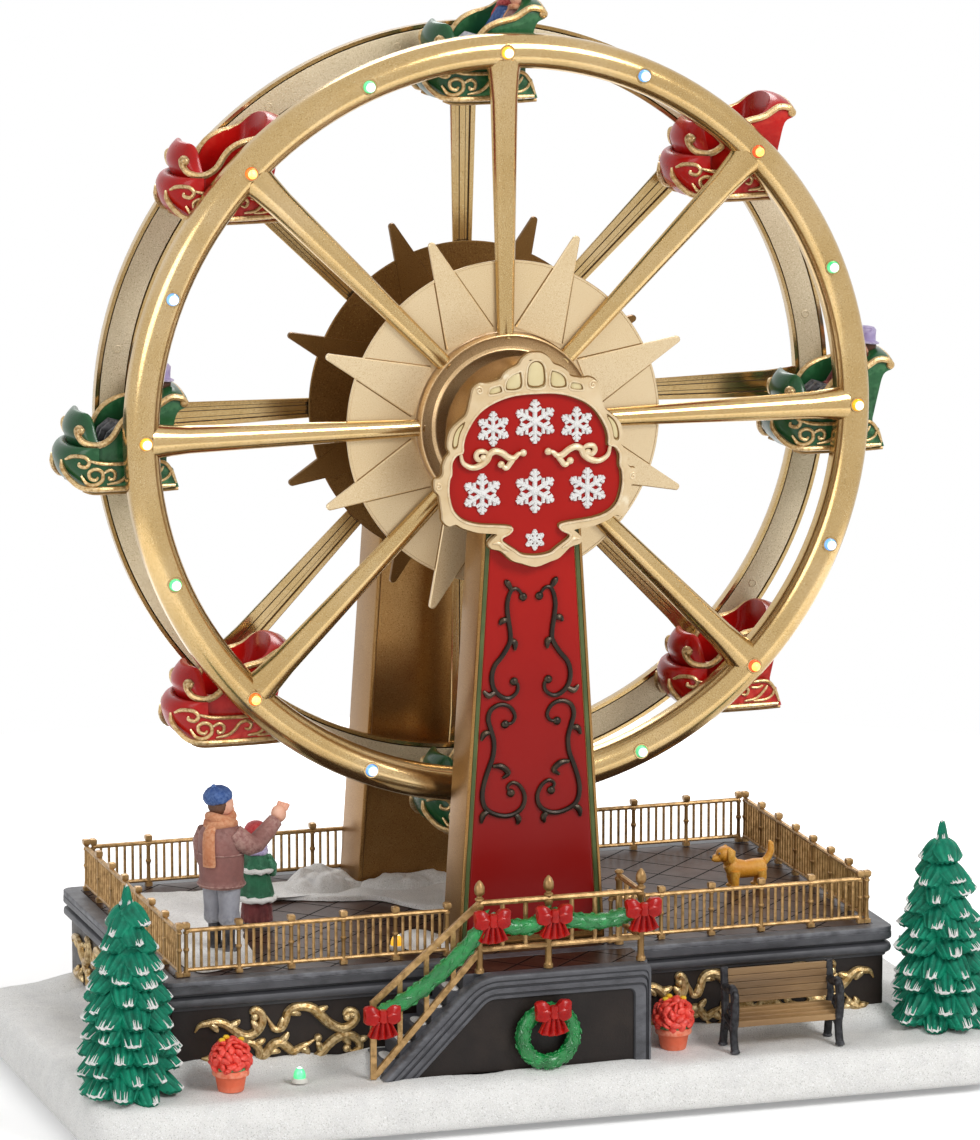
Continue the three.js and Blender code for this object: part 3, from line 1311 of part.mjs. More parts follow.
function sleigh(with_riders) {
  const tub = plate(sleighOutline(tub_shares), -sleigh_tub_half_width, sleigh_tub_half_width)
    .intersect(sleighPlan(sleigh_tub_half_width, -0.488, -0.26));
  const skirt = plate(sleighOutline(skirt_shares), -sleigh_skirt_half_width, sleigh_skirt_half_width)
    .intersect(sleighPlan(sleigh_skirt_half_width, -0.569, -0.3));
  const seat_half = sleigh_tub_half_width - sleigh_wall;
  const seat = plate(sleighOutline(seat_shares), -seat_half, seat_half)
    .intersect(sleighPlan(seat_half, -0.46, -0.24));
  const pin_end = rim_inner_face + seat_gap + rim_cover_thickness + sleigh_pin_reach / 2;
  const pins = [1, -1].map((way) => {
    const ends = [way * (seat_half + sleigh_wall / 2), way * pin_end].sort((a, b) => a - b);
    return cylinderY(sleigh_pin_radius, ends[0], ends[1], 6);
  });
  const parts = [tub.add(skirt).subtract(seat), ...pins];
  if (with_riders) parts.push(rider(rider_spread), rider(-rider_spread));
  return joined(parts);
}

function addWheel(group) {
  const wheel = new THREE.Group();
  wheel.position.set(...axle_place);
  group.add(wheel);
  const front = new THREE.Group();
  front.rotation.z = Math.PI;
  wheel.add(front);
  addPiece(front, 'front_ring', wheelSide(true), gold);
  addPiece(wheel, 'rear_ring', wheelSide(false), gold);
  const cover = rimCover();
  addPiece(front, 'front_ring_cover', cover, pale_gold);
  addPiece(wheel, 'rear_ring_cover', cover, pale_gold);
  const rays = sunburst();
  addPiece(front, 'front_sunburst', rays, pale_gold);
  addPiece(wheel, 'rear_sunburst', rays, pale_gold);
  addPiece(front, 'front_lamp_string', lampString(), lamp_glow);
  addPiece(wheel, 'main_axle', mainAxle(), steel);
  addPiece(front, 'slip_ring', slipRing(), dark_gold);
  addPiece(wheel, 'drive_gear', driveGear(), white_plastic);
  addPiece(wheel, 'motor_pinion', motorPinion(), white_plastic);
  const plain = sleigh(false);
  const ridden = sleigh(true);
  for (let i = 0; i < sleigh_count; i += 1) {
    const turn = roundAngle(i, sleigh_count);
    const hanger = new THREE.Group();
    hanger.position.set(rim_radius * Math.sin(turn), 0, rim_radius * Math.cos(turn));
    wheel.add(hanger);
    const green = i % 2 === 0;
    addPiece(hanger, `sleigh_${i + 1}`, green ? ridden : plain, green ? sleigh_green : sleigh_red);
  }
}

addBase(model);
addPlinth(model);
addRailings(model);
addLanding(model);
addGarden(model);
addFigures(model);
addTowers(model);
addWheel(model);

export default model;
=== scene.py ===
import math
import random

import bmesh
import bpy
from mathutils import Matrix, Vector, noise
from mathutils.geometry import tessellate_polygon


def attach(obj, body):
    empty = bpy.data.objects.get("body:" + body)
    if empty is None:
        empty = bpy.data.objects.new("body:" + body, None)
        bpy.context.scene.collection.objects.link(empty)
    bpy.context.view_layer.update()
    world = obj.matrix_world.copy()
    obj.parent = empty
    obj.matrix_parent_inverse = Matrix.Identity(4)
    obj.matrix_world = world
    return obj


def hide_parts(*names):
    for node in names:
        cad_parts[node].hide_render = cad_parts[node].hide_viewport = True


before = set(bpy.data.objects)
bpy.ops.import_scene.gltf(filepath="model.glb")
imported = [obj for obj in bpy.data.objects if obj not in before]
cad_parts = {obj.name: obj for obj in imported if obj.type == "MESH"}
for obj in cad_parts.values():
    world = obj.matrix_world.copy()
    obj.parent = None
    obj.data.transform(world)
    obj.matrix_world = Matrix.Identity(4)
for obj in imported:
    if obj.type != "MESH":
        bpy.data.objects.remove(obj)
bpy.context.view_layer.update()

MM = 0.001
TAU = math.tau
RNG = random.Random(11)

# Sizes in millimetres, the same as in the CAD source
AXLE = Vector((4.5, 15.4, 270))
BASE_X, BASE_Y, BASE_CORNER, BASE_TOP = 192, 105, 17, 23
PLINTH_X, PLINTH_LOW_Y, PLINTH_HIGH_Y, DECK = 150.5, -64.1, 94.9, 63
PLINTH_Y = (PLINTH_LOW_Y + PLINTH_HIGH_Y) / 2
LANDING = {"foot": -71, "left": -31.5, "right": 40.5, "front": -94.4, "back": -67.9}
SNOW_TOP, DECK_TOP = BASE_TOP + 0.3, DECK + 0.3
PIN_CIRCLE, SPOKES, LAMP_COUNT = 150, 8, 16


def V(x, y, z=0.0):
    return Vector((x, y, z))


def circle(rx, ry, count):
    """Points round an ellipse."""
    return [(rx * math.cos(TAU * k / count), ry * math.sin(TAU * k / count)) for k in range(count)]


def taper(count, start, rate):
    """Shares of a radius along a path, from start at both ends up to 1."""
    return [min(1, start + rate * i / count, start + rate * (count - 1 - i) / count) for i in range(count)]


def smooth(points, steps=6, closed=False):
    """A rounded curve through the points."""
    pts = [Vector(p) for p in points]
    n = len(pts)
    out = []
    for i in range(n if closed else n - 1):
        a = pts[(i - 1) % n] if closed or i else 2 * pts[0] - pts[1]
        b, c = pts[i], pts[(i + 1) % n]
        d = pts[(i + 2) % n] if closed or i + 2 < n else 2 * pts[-1] - pts[-2]
        for s in range(steps):
            t = s / steps
            out.append(0.5 * (2 * b + (c - a) * t + (2 * a - 5 * b + 4 * c - d) * t * t
                              + (3 * b - a - 3 * c + d) * t ** 3))
    if not closed:
        out.append(pts[-1])
    return out


def spiral(cx, cz, r0, r1, a0, turns, steps=12):
    """Points on a flat spiral, from radius r0 to r1."""
    count = max(4, int(abs(turns) * steps))
    return [(cx + (r0 + (r1 - r0) * i / count) * math.cos(a0 + TAU * turns * i / count),
             cz + (r0 + (r1 - r0) * i / count) * math.sin(a0 + TAU * turns * i / count))
            for i in range(count + 1)]


class Shape:
    """A mesh under construction, in millimetres. The matrix here places tubes' paths and balls' centres."""

    def __init__(self, here=None):
        self.verts, self.faces, self.mats, self.mat = [], [], [], 0
        self.here = here or Matrix()

    def use(self, mat):
        self.mat = mat

    def add(self, verts, faces, matrix=None):
        start = len(self.verts)
        self.verts += [matrix @ Vector(v) if matrix else Vector(v) for v in verts]
        self.faces += [[start + i for i in face] for face in faces]
        self.mats += [self.mat] * len(faces)

    def paint(self, pick, first=0):
        """Choose each face's material from its middle."""
        for i in range(first, len(self.faces)):
            face = self.faces[i]
            self.mats[i] = pick(sum((self.verts[v] for v in face), Vector()) / len(face))

    def grid(self, rows, caps=True, loop=False, matrix=None):
        """Faces between closed rows of points; a loop also joins the last row to the first."""
        n, count = len(rows[0]), len(rows)
        faces = []
        for r in range(count if loop else count - 1):
            a, b = r * n, (r + 1) % count * n
            for i in range(n):
                j = (i + 1) % n
                faces.append([a + i, a + j, b + j, b + i])
        if caps and not loop:
            faces.append(list(range(n))[::-1])
            faces.append([(count - 1) * n + i for i in range(n)])
        self.add([v for row in rows for v in row], faces, matrix)

    def tube(self, path, radius, sides=8, closed=False, flat=1.0, up=(0, 0, 1)):
        path = [self.here @ Vector(p) for p in path]
        n = len(path)
        radii = radius if isinstance(radius, (list, tuple)) else [radius] * n
        side = None
        rows = []
        for i, p in enumerate(path):
            ahead = path[(i + 1) % n] if closed or i + 1 < n else p
            behind = path[(i - 1) % n] if closed or i else p
            along = (ahead - behind).normalized()
            if side is None:
                side = along.cross(Vector(up))
                if side.length < 0.01:
                    side = along.cross(Vector((1, 0, 0)))
            side = (side - along * side.dot(along)).normalized()
            over = along.cross(side)
            rows.append([p + radii[i] * (math.cos(TAU * k / sides) * side
                                         + flat * math.sin(TAU * k / sides) * over) for k in range(sides)])
        self.grid(rows, loop=closed)

    def hoop(self, path, radius, sides=6):
        self.tube(path, radius, sides, closed=True, up=(0, 1, 0))

    def rope(self, points, radius, place, start, rate, steps=5):
        """A tube along a rounded flat path, thinner towards both ends."""
        path = [place(*p) for p in smooth(points, steps)]
        self.tube(path, [radius * share for share in taper(len(path), start, rate)], 8, up=(0, 1, 0))

    def lathe(self, profile, matrix=None, sides=24):
        """Turn (radius, height) points about Z."""
        self.grid([[V(x, y, h) for x, y in circle(r, r, sides)] for r, h in profile], matrix=matrix)

    def turned(self, profile, place, sides):
        """Turn a closed loop of (radius, depth) points about the axle."""
        self.grid([[place(x, z, w) for z, x in circle(r, r, sides)] for r, w in profile], loop=True)

    def ball(self, centre, radii, rows=7, sides=10, matrix=None):
        rx, ry, rz = radii if isinstance(radii, (list, tuple)) else (radii,) * 3
        c = self.here @ Vector(centre)
        rings = []
        for i in range(1, rows):
            a = math.pi * i / rows
            rings.append([c + V(x, y, -rz * math.cos(a))
                          for x, y in circle(rx * math.sin(a), ry * math.sin(a), sides)])
        start = len(self.verts)
        self.grid(rings, caps=False, matrix=matrix)
        for ring, z in ((0, -rz), (rows - 2, rz)):
            tip = c + Vector((0, 0, z))
            self.verts.append(matrix @ tip if matrix else tip)
            top = len(self.verts) - 1
            for k in range(sides):
                self.faces.append([start + ring * sides + k, start + ring * sides + (k + 1) % sides, top])
                self.mats.append(self.mat)

    def prism(self, outline, low, high, place):
        self.grid([[place(a, b, d) for a, b in outline] for d in (low, high)])

    def block(self, lo, hi, matrix=None):
        self.grid([[V(lo[0], lo[1], z), V(hi[0], lo[1], z), V(hi[0], hi[1], z), V(lo[0], hi[1], z)]
                   for z in (lo[2], hi[2])], matrix=matrix)

    def holed(self, loops, low, high, place):
        """A plate from an outer loop and hole loops."""
        flat = [[V(a, b) for a, b in loop] for loop in loops]
        points = [p for loop in flat for p in loop]
        triangles = tessellate_polygon(flat)
        count = len(points)
        verts = [place(p.x, p.y, d) for d in (low, high) for p in points]
        faces = [list(t) for t in triangles] + [[i + count for i in t][::-1] for t in triangles]
        start = 0
        for loop in flat:
            for i in range(len(loop)):
                j = (i + 1) % len(loop)
                faces.append([start + i, start + j, start + j + count, start + i + count])
            start += len(loop)
        self.add(verts, faces)


def front_face(x, z, y):
    return V(x, y, z)


def link(obj):
    bpy.context.scene.collection.objects.link(obj)
    return obj


def finish_mesh(mesh, angle):
    """Smooth faces with sharp edges past the angle."""
    mesh.polygons.foreach_set("use_smooth", [True] * len(mesh.polygons))
    mesh.set_sharp_from_angle(angle=math.radians(angle))
    return mesh


def build(name, shape, mats, angle=38):
    mesh = bpy.data.meshes.new(name)
    mesh.from_pydata([v * MM for v in shape.verts], [], shape.faces)
    mesh.polygons.foreach_set("material_index", shape.mats)
    bm = bmesh.new()
    bm.from_mesh(mesh)
    bmesh.ops.remove_doubles(bm, verts=bm.verts, dist=2e-6)
    bmesh.ops.dissolve_degenerate(bm, edges=bm.edges, dist=1e-6)
    bmesh.ops.recalc_face_normals(bm, faces=bm.faces)
    bm.to_mesh(mesh)
    bm.free()
    for mat in mats:
        mesh.materials.append(mat)
    return finish_mesh(mesh, angle)


def piece(name, shape, mats, body="stand", replaces=(), slot=None, bevel=0.0, at=None, angle=38):
    mats = mats if isinstance(mats, (list, tuple)) else [mats]
    mesh = build(name, shape, mats, angle) if isinstance(shape, Shape) else shape
    obj = link(bpy.data.objects.new(name, mesh))
    if at is not None:
        obj.location = Vector(at) * MM
    if bevel:
        mod = obj.modifiers.new("edge", "BEVEL")
        mod.width, mod.segments, mod.limit_method = bevel * MM, 2, "ANGLE"
        mod.angle_limit = math.radians(40)
        mod.harden_normals = True
    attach(obj, body)
    if replaces:
        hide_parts(*replaces)
    return obj


def cut(shape, cutter, mats=()):
    """The mesh of shape with cutter taken out of it."""
    objs = [link(bpy.data.objects.new("cutting", build("cutting", part, mats))) for part in (shape, cutter)]
    mod = objs[0].modifiers.new("cut", "BOOLEAN")
    mod.operation, mod.object, mod.solver = "DIFFERENCE", objs[1], "EXACT"
    bpy.context.view_layer.update()
    mesh = bpy.data.meshes.new_from_object(objs[0].evaluated_get(bpy.context.evaluated_depsgraph_get()))
    for obj in objs:
        bpy.data.objects.remove(obj)
    mesh.set_sharp_from_angle(angle=math.radians(38))
    return mesh


# Materials

def rgb(code):
    code = code.lstrip("#")
    parts = [int(code[i:i + 2], 16) / 255 for i in (0, 2, 4)]
    return [c / 12.92 if c <= 0.04045 else ((c + 0.055) / 1.055) ** 2.4 for c in parts] + [1.0]


class Graph:
    """The nodes of a material or world."""

    def __init__(self, owner):
        owner.use_nodes = True
        self.nodes, self.links = owner.node_tree.nodes, owner.node_tree.links

    def fill(self, node, inputs):
        """Give inputs a link, a colour code or a value each."""
        for key, value in inputs.items():
            if isinstance(value, bpy.types.NodeSocket):
                self.links.new(value, node.inputs[key])
            elif value is not None:
                node.inputs[key].default_value = rgb(value) if isinstance(value, str) else value

    def add(self, kind, inputs, out=0, **settings):
        """The output of a new node."""
        node = self.nodes.new("ShaderNode" + kind)
        for key, value in settings.items():
            setattr(node, key, value)
        self.fill(node, inputs)
        return node.outputs[out] if node.outputs else None

    def maths(self, kind, a, b=None):
        return self.add("Math", {0: a, 1: b}, operation=kind)

    def seen(self):
        """1 for the rays that show the white background."""
        rays = self.add("LightPath", {}).node.outputs
        return self.maths("MAXIMUM", self.maths("MAXIMUM", rays["Is Camera Ray"], rays["Is Glossy Ray"]),
                          rays["Is Transmission Ray"])


def material(name, shades, scale=45, rough=(0.4, 0.6), metal=0.0, bump=0.12, grain=900, edge=None,
             hollow=None, wear_and_highlight_range=(0.52, 0.60), shade_and_wash_range=(0.40, 0.49), bottom_darkening=None, fleck=None, dark=None,
             coat=0.0, glow=0.0, stretch=(1, 1, 1), diamonds=0, sheen=0.0, specular=0.5):
    """Painted surface: mottled colour, edges lighter (rubbed wear and painted highlight), hollows darker (painted
    shade), flecks, fine bump.
    """
    mat = bpy.data.materials.new(name)
    graph = Graph(mat)
    maths = graph.maths
    at = graph.add("TexCoord", {}, "Object")
    stretched = graph.add("Mapping", {"Vector": at, "Scale": stretch})
    axes = graph.add("SeparateXYZ", {0: at}).node.outputs

    def noisy(size, detail=4.0, soft=0.55):
        return graph.add("TexNoise", {"Vector": stretched, "Scale": size, "Detail": detail, "Roughness": soft}, "Fac")

    def mix(a, b, share):
        return graph.add("Mix", {6: a, 7: b, 0: share}, 2, data_type="RGBA")

    def span(source, low, high, to_low=0.0, to_high=1.0):
        return graph.add("MapRange", {0: source, 1: low, 2: high, 3: to_low, 4: to_high})

    shades = shades.split()
    colour = graph.add("ValToRGB", {"Fac": noisy(scale)}, "Color")
    stops = colour.node.color_ramp.elements
    while len(stops) < len(shades):
        stops.new(0.5)
    for i, code in enumerate(shades):
        stops[i].position, stops[i].color = 0.3 + 0.4 * i / (len(shades) - 1), rgb(code)
    fine = noisy(grain, 3.0, 0.6)
    shine = span(noisy(scale * 2.5), 0.3, 0.7, *rough)
    # Darker towards the bottom: the tint is mixed in below the given heights.
    if bottom_darkening:
        low, high, tint = bottom_darkening
        colour = mix(colour, tint, span(axes["Z"], high * MM, low * MM))
    if diamonds:
        lines = []
        for kind in ("ADD", "SUBTRACT"):
            along = maths("MULTIPLY", maths(kind, axes["X"], axes["Y"]), diamonds)
            apart = maths("ABSOLUTE", maths("SUBTRACT", maths("FRACT", along), 0.5))
            lines.append(maths("GREATER_THAN", apart, 0.475))
        groove = maths("MAXIMUM", *lines)
        colour = mix(colour, "#0c0706", groove)
        shine = maths("MAXIMUM", shine, maths("MULTIPLY", groove, 0.9))
    if fleck:
        colour = mix(colour, fleck[0], span(fine, fleck[1], fleck[1] + 0.05))
    if dark:
        colour = mix(colour, dark[0], span(fine, dark[1], dark[1] - 0.04))
    point = graph.add("NewGeometry", {}, "Pointiness")
    # Painted shade: the hollow colour darkens concave places; on the sign frame and the plinth scrolls it is also a
    # brown wash.
    if hollow:
        colour = mix(colour, hollow, span(point, shade_and_wash_range[1], shade_and_wash_range[0]))
    # Lighter on convex edges: partly rubbed wear, partly painted highlight.
    if edge:
        colour = mix(colour, edge, maths("MULTIPLY", span(point, *wear_and_highlight_range), span(noisy(scale * 6), 0.35, 0.6)))
    inputs = {"Base Color": colour, "Roughness": shine, "Metallic": metal, "Coat Weight": coat,
              "Coat Roughness": 0.12, "Specular IOR Level": specular}
    if sheen:
        inputs.update({"Sheen Weight": sheen, "Sheen Roughness": 0.5})
    if glow:
        inputs.update({"Emission Color": colour, "Emission Strength": glow})
    if bump:
        inputs["Normal"] = graph.add("Bump", {"Strength": bump, "Distance": 0.0006, "Height": fine})
    graph.fill(graph.nodes["Principled BSDF"], inputs)
    return mat


# gold_paint: its hollow colour is painted shade.
GOLD = material("gold_paint", "#bf9f69 #c8aa76 #d0b486", 30, (0.15, 0.19), 0.94, 0.05, 2600,
                hollow="#4a3016", shade_and_wash_range=(0.36, 0.44), fleck=("#d8c49a", 0.60), dark=("#a58854", 0.42))
# Painted shade: a darker copy of the gold for the towers, whose faces stand in shade.
SHADED_TOWER_GOLD = material("tower_gold_painted_shade", "#8e6838 #967040 #9f7a4a", 24, (0.28, 0.32), 0.85, 0.05, 2600,
                      fleck=("#b8945e", 0.62), dark=("#75532a", 0.42))
PALE_GOLD = material("pale_gold", "#dcc398 #e0c89f #e4cea8", 20, (0.32, 0.36), 0.5, 0.05, 2600,
                     fleck=("#ecdab6", 0.60), dark=("#cfb284", 0.42))
# Painted shadow: a darker copy of the pale gold for the rear sunburst, which lies in the front side's shadow.
SHADOWED_SUNBURST_GOLD = material("sunburst_gold_painted_shadow", "#6c4d25 #75552c #7e5e34", 24, (0.34, 0.38), 0.8, 0.05, 2600,
                      fleck=("#977646", 0.62), dark=("#57391a", 0.42))
RING_GOLD = material("ring_cover_gold", "#cbb998 #d2c1a1 #dacaab", 24, (0.40, 0.46), 0.25, 0.10, 2400,
                     fleck=("#ece0c8", 0.60), dark=("#a8946f", 0.42))
# hub_gold: its hollow colour is painted shade.
HUB_GOLD = material("hub_gold", "#c4a273 #ccab7e #d5b68b", 24, (0.32, 0.36), 0.6, 0.05, 2600,
                    hollow="#5a3c1c", shade_and_wash_range=(0.36, 0.46), fleck=("#e0ca9f", 0.60), dark=("#ab8756", 0.42))
# Painted shade: dark lines laid along the walls of the spokes' grooves.
SPOKE_GROOVE_SHADE = material("spoke_groove_painted_shade", "#3a2812 #4c3619", 60, (0.5, 0.6), 0.2, 0.05, 1800)
# Painted shade: dark lines along the sunburst rays' creases and round the sign's field, frame and windows.
CREASE_SHADE = material("crease_painted_shade", "#7c5c30 #8c6a3a", 60, (0.4, 0.5), 0.5, 0.05, 1800)
# From here to the bronze, the edge colours are painted highlight and the hollow colours painted shade; on the plinth
# scrolls and the sign frame the hollows are also a brown wash.
RAIL_GOLD = material("rail_gold", "#7a5a30 #8c6b3c #9d7b4a", 60, (0.34, 0.42), 0.5, 0.15, 1800,
                     edge="#c09a66", hollow="#4a3216")
SCROLL_GOLD = material("scroll_gold", "#6e5026 #94713a #b08a4c", 110, (0.26, 0.4), 0.6, 0.25, 1500,
                       edge="#ead2a0", hollow="#241608", shade_and_wash_range=(0.43, 0.5))
TRIM_GOLD = material("trim_gold", "#8c683a #ad8750 #c8a46c", 140, (0.28, 0.38), 0.6, 0.2, 1500,
                     edge="#ecd4a4", hollow="#3c2610", shade_and_wash_range=(0.42, 0.5))
SIGN_GOLD = material("sign_gold", "#cdb184 #d6bc92 #dfc8a2", 60, (0.36, 0.46), 0.2, 0.12, 1500,
                     edge="#ecdcbc", hollow="#8a6c42")
PALE_PANE = material("sign_pane", "#cfbc88 #d9c897 #e2d3a6", 60, (0.4, 0.5), 0.1, 0.10, 1500,
                     hollow="#6e5a34", shade_and_wash_range=(0.42, 0.5))
BRONZE = material("scroll_bronze", "#1a1410 #2a2018 #3a2c20", 90, (0.28, 0.4), 0.6, 0.15, 1500,
                  edge="#8a7350", hollow="#0b0806", wear_and_highlight_range=(0.56, 0.66))
# red_panel: darker towards the bottom by its second tint; its hollow colour is painted shade.
RED_PANEL = material("red_panel", "#9c100a #a6150d #b01b12", 16, (0.30, 0.36), 0.0, 0.05, 700,
                     bottom_darkening=(70, 220, "#780604"), hollow="#440606", specular=0.22)
OLIVE = material("olive_trim", "#39451f #465328 #566335", 60, (0.35, 0.5), 0.25, 0.1, 1600)
# Sleigh reds and greens and the bows: the edge colour is painted highlight, the hollow colour painted shade.
RED_GLOSS = material("sleigh_red", "#9a0806 #b20e0a #c61610", 60, (0.26, 0.34), 0.0, 0.06, 900,
                     edge="#d43e30", hollow="#4c0404", coat=0.15, specular=0.22)
GREEN_GLOSS = material("sleigh_green", "#123e1f #18502a #206036", 60, (0.26, 0.34), 0.0, 0.06, 900,
                       edge="#4f8a5c", hollow="#08180c", coat=0.2, specular=0.3)
BOW_RED = material("bow_red", "#880402 #9e0805 #b2100a", 90, (0.24, 0.34), 0.0, 0.08, 1200,
                   edge="#bc2c22", hollow="#3c0202", coat=0.1, specular=0.2)
# snow: the grey hollow colour is painted shade.
SNOW = material("snow", "#e2e1df #e8e7e4 #edece9", 120, (0.5, 0.8), 0.0, 0.8, 1900,
                hollow="#c8c9cb", shade_and_wash_range=(0.44, 0.5), fleck=("#ffffff", 0.60), dark=("#c2c1bd", 0.40),
                specular=0.5)
DARK_PANEL = material("plinth_dark", "#191412 #221b18 #2d2520", 45, (0.35, 0.55), 0.0, 0.2, 1200,
                      specular=0.25)
# slate_paint: lighter edges are partly rubbed wear, partly painted highlight; the hollow colour is painted shade.
SLATE = material("slate_paint", "#38383b #404044 #49494e", 40, (0.45, 0.6), 0.0, 0.2, 1600,
                 edge="#66676c", hollow="#1e1f22", fleck=("#56575c", 0.68), stretch=(0.6, 0.6, 1.2))
DECK_PAINT = material("deck_paint", "#301c15 #3e281d #4b3226", 50, (0.28, 0.38), 0.0, 0.1, 900,
                      diamonds=44, specular=0.12)
# Tree and garland greens: the tree's edge colour is painted highlight; both hollow colours are painted shade.
NEEDLES = material("tree_green", "#035a44 #067258 #0b8a69", 160, (0.4, 0.55), 0.0, 0.4, 2200,
                   edge="#2fa080", hollow="#02281f", shade_and_wash_range=(0.42, 0.497), specular=0.2)
GARLAND = material("garland_green", "#04642a #077a35 #0f9042", 170, (0.22, 0.34), 0.0, 0.4, 1400,
                   hollow="#033014", coat=0.3)
# Pot, petals and leaves: the edge colours are painted highlight, the hollow colours painted shade.
POT = material("pot_paint", "#cf5a38 #e66c48 #ee805c", 90, (0.5, 0.7), 0.0, 0.2, 1500,
               edge="#f5a98d", hollow="#7a2c18")
PETALS = material("flower_red", "#b81812 #d8261e #ea4034", 200, (0.35, 0.55), 0.0, 0.2, 2200,
                  edge="#f2604e", hollow="#5c0806", coat=0.1)
YELLOW = material("flower_yellow", "#e0b020 #f2c832", 200, (0.4, 0.6), 0.0, 0.1, 2200)
LEAF = material("leaf_green", "#1c5a2c #2c7a3d", 160, (0.4, 0.6), 0.0, 0.2, 2200, edge="#6fae72")
# bench_wood: its hollow colour is painted shade.
WOOD = material("bench_wood", "#5c452a #7a5d3b #8f714a", 60, (0.45, 0.6), 0.0, 0.5, 900,
                hollow="#2c1e10", stretch=(0.25, 1.0, 1.6))
# Painted light: a lighter copy of the bench wood for the seat, as lit from above; its hollow colour is painted shade.
LIT_SEAT_WOOD = material("seat_wood_painted_light", "#7c5d39 #967449 #a8865a", 60, (0.45, 0.6), 0.0, 0.5, 900,
                     hollow="#2c1e10", stretch=(0.25, 1.0, 1.6))
# bench_iron: lighter edges are partly rubbed wear, partly painted highlight.
IRON = material("bench_iron", "#0e0d0f #151416 #1e1d20", 90, (0.4, 0.55), 0.2, 0.2, 1400,
                edge="#4c4c50", specular=0.3)
# Cloth: the edge colours are painted highlight on folds, the hollow colours painted shade in creases.
COAT = material("coat_cloth", "#6f4742 #80534d #915f58", 110, (0.6, 0.8), 0.0, 0.4, 2000,
                edge="#b08a80", hollow="#35211d", sheen=0.1)
TROUSERS = material("trouser_cloth", "#85868f #9697a0 #a6a7b0", 110, (0.7, 0.9), 0.0, 0.4, 2000,
                    edge="#c0c1c8", hollow="#484a54", sheen=0.1)
BLUE_WOOL = material("blue_wool", "#16386f #1f4685 #2c5798", 140, (0.6, 0.8), 0.0, 0.5, 2200,
                     edge="#6f8cc0", hollow="#101e38", sheen=0.1)
TAN_WOOL = material("tan_wool", "#a8603c #bd744c #cd875e", 140, (0.7, 0.9), 0.0, 0.5, 2200,
                    edge="#dea882", hollow="#6b371e", sheen=0.1)
LILAC = material("lilac_wool", "#8a78a8 #a292bf #b8aad0", 140, (0.7, 0.9), 0.0, 0.5, 2200,
                 edge="#d9cfea", hollow="#4c3f66", sheen=0.3)
RED_WOOL = material("red_wool", "#8c1218 #a81a20 #bf2b2e", 140, (0.7, 0.9), 0.0, 0.5, 2200,
                    edge="#dd6a66", hollow="#470709", sheen=0.3)
GREEN_CLOTH = material("green_cloth", "#0c4227 #125234 #1b6743", 120, (0.6, 0.8), 0.0, 0.4, 2000,
                       edge="#5aa07c", hollow="#05200f", sheen=0.1)
DARK_RED = material("skirt_cloth", "#4a1416 #5f1c1d #742a29", 120, (0.65, 0.85), 0.0, 0.4, 2000,
                    edge="#a35a54", hollow="#240708", sheen=0.2)
# Fur, skin and hair: the hollow colours are painted shade.
FUR = material("white_fur", "#d8d6d2 #e9e7e3 #f5f4f1", 300, (0.8, 0.95), 0.0, 0.9, 1800,
               hollow="#a5a29c")
SKIN = material("skin_paint", "#d99a7e #e6ad92 #eebda4", 150, (0.5, 0.65), 0.0, 0.1, 1800,
                hollow="#9c5c44")
HAIR = material("hair_paint", "#3d2417 #553523 #6d4731", 200, (0.5, 0.7), 0.0, 0.5, 2400,
                stretch=(1, 1, 0.3), hollow="#1f110a")
# Black paint and black plastic: lighter edges are partly rubbed wear, partly painted highlight. dog_fur: its edge
# colour is painted highlight, its hollow colour painted shade.
BLACK = material("black_paint", "#141316 #1d1c20 #29282c", 90, (0.3, 0.5), 0.0, 0.15, 1500,
                 edge="#66656a")
DOG = material("dog_fur", "#c47c14 #d88e1c #e4a030", 160, (0.35, 0.5), 0.0, 0.4, 2000,
               edge="#f0bc5c", hollow="#7a4208")
PLASTIC = material("black_plastic", "#18181a #1e1e21 #252528", 60, (0.4, 0.55), 0.0, 0.1, 1400,
                   edge="#4a4a4e")
RUBBER = material("foot_rubber", "#121213 #19191b #202022", 80, (0.7, 0.9), 0.0, 0.2, 1800)
NYLON = material("white_plastic", "#cfcdc4 #dad8cf #e2e0d8", 70, (0.4, 0.55), 0.0, 0.1, 1400)
STEEL = material("axle_steel", "#9fa1a4 #b4b6b9 #c4c6c9", 40, (0.22, 0.34), 0.95, 0.08, 1800,
                 stretch=(1, 0.08, 1))
ZINC = material("motor_steel", "#8f9194 #a6a8ab #b8babd", 50, (0.3, 0.45), 0.9, 0.1, 1600)
BRASS = material("slip_brass", "#9c7a38 #b8924a #cba75e", 60, (0.22, 0.35), 0.95, 0.08, 1800)

LAMP_TINTS = {"yellow": ("#f0a010 #ffd040", "#fff0a0 #fffbe0"), "blue": ("#3f8af0 #8cc4ff", "#bfe0ff #f2f9ff"),
              "red": ("#d83418 #f06030", "#ffb040 #ffd070"), "orange": ("#e85010 #f88a30", "#ffc040 #ffe090"),
              "green": ("#28c070 #7ae8a8", "#b8ffd0 #f0fff4")}
LAMPS = {tint: material("lamp_" + tint, shades[0], 260, (0.1, 0.2), bump=0, glow=0.9, coat=0.5)
         for tint, shades in LAMP_TINTS.items()}
CORES = {tint: material("core_" + tint, shades[1], 500, (0.1, 0.2), bump=0, glow=1.5)
         for tint, shades in LAMP_TINTS.items()}


def recolour(node, mat):
    """A carried-over CAD piece gets its finished material."""
    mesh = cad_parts[node].data
    mesh.materials.clear()
    mesh.materials.append(mat)


# Base, feet and what is inside

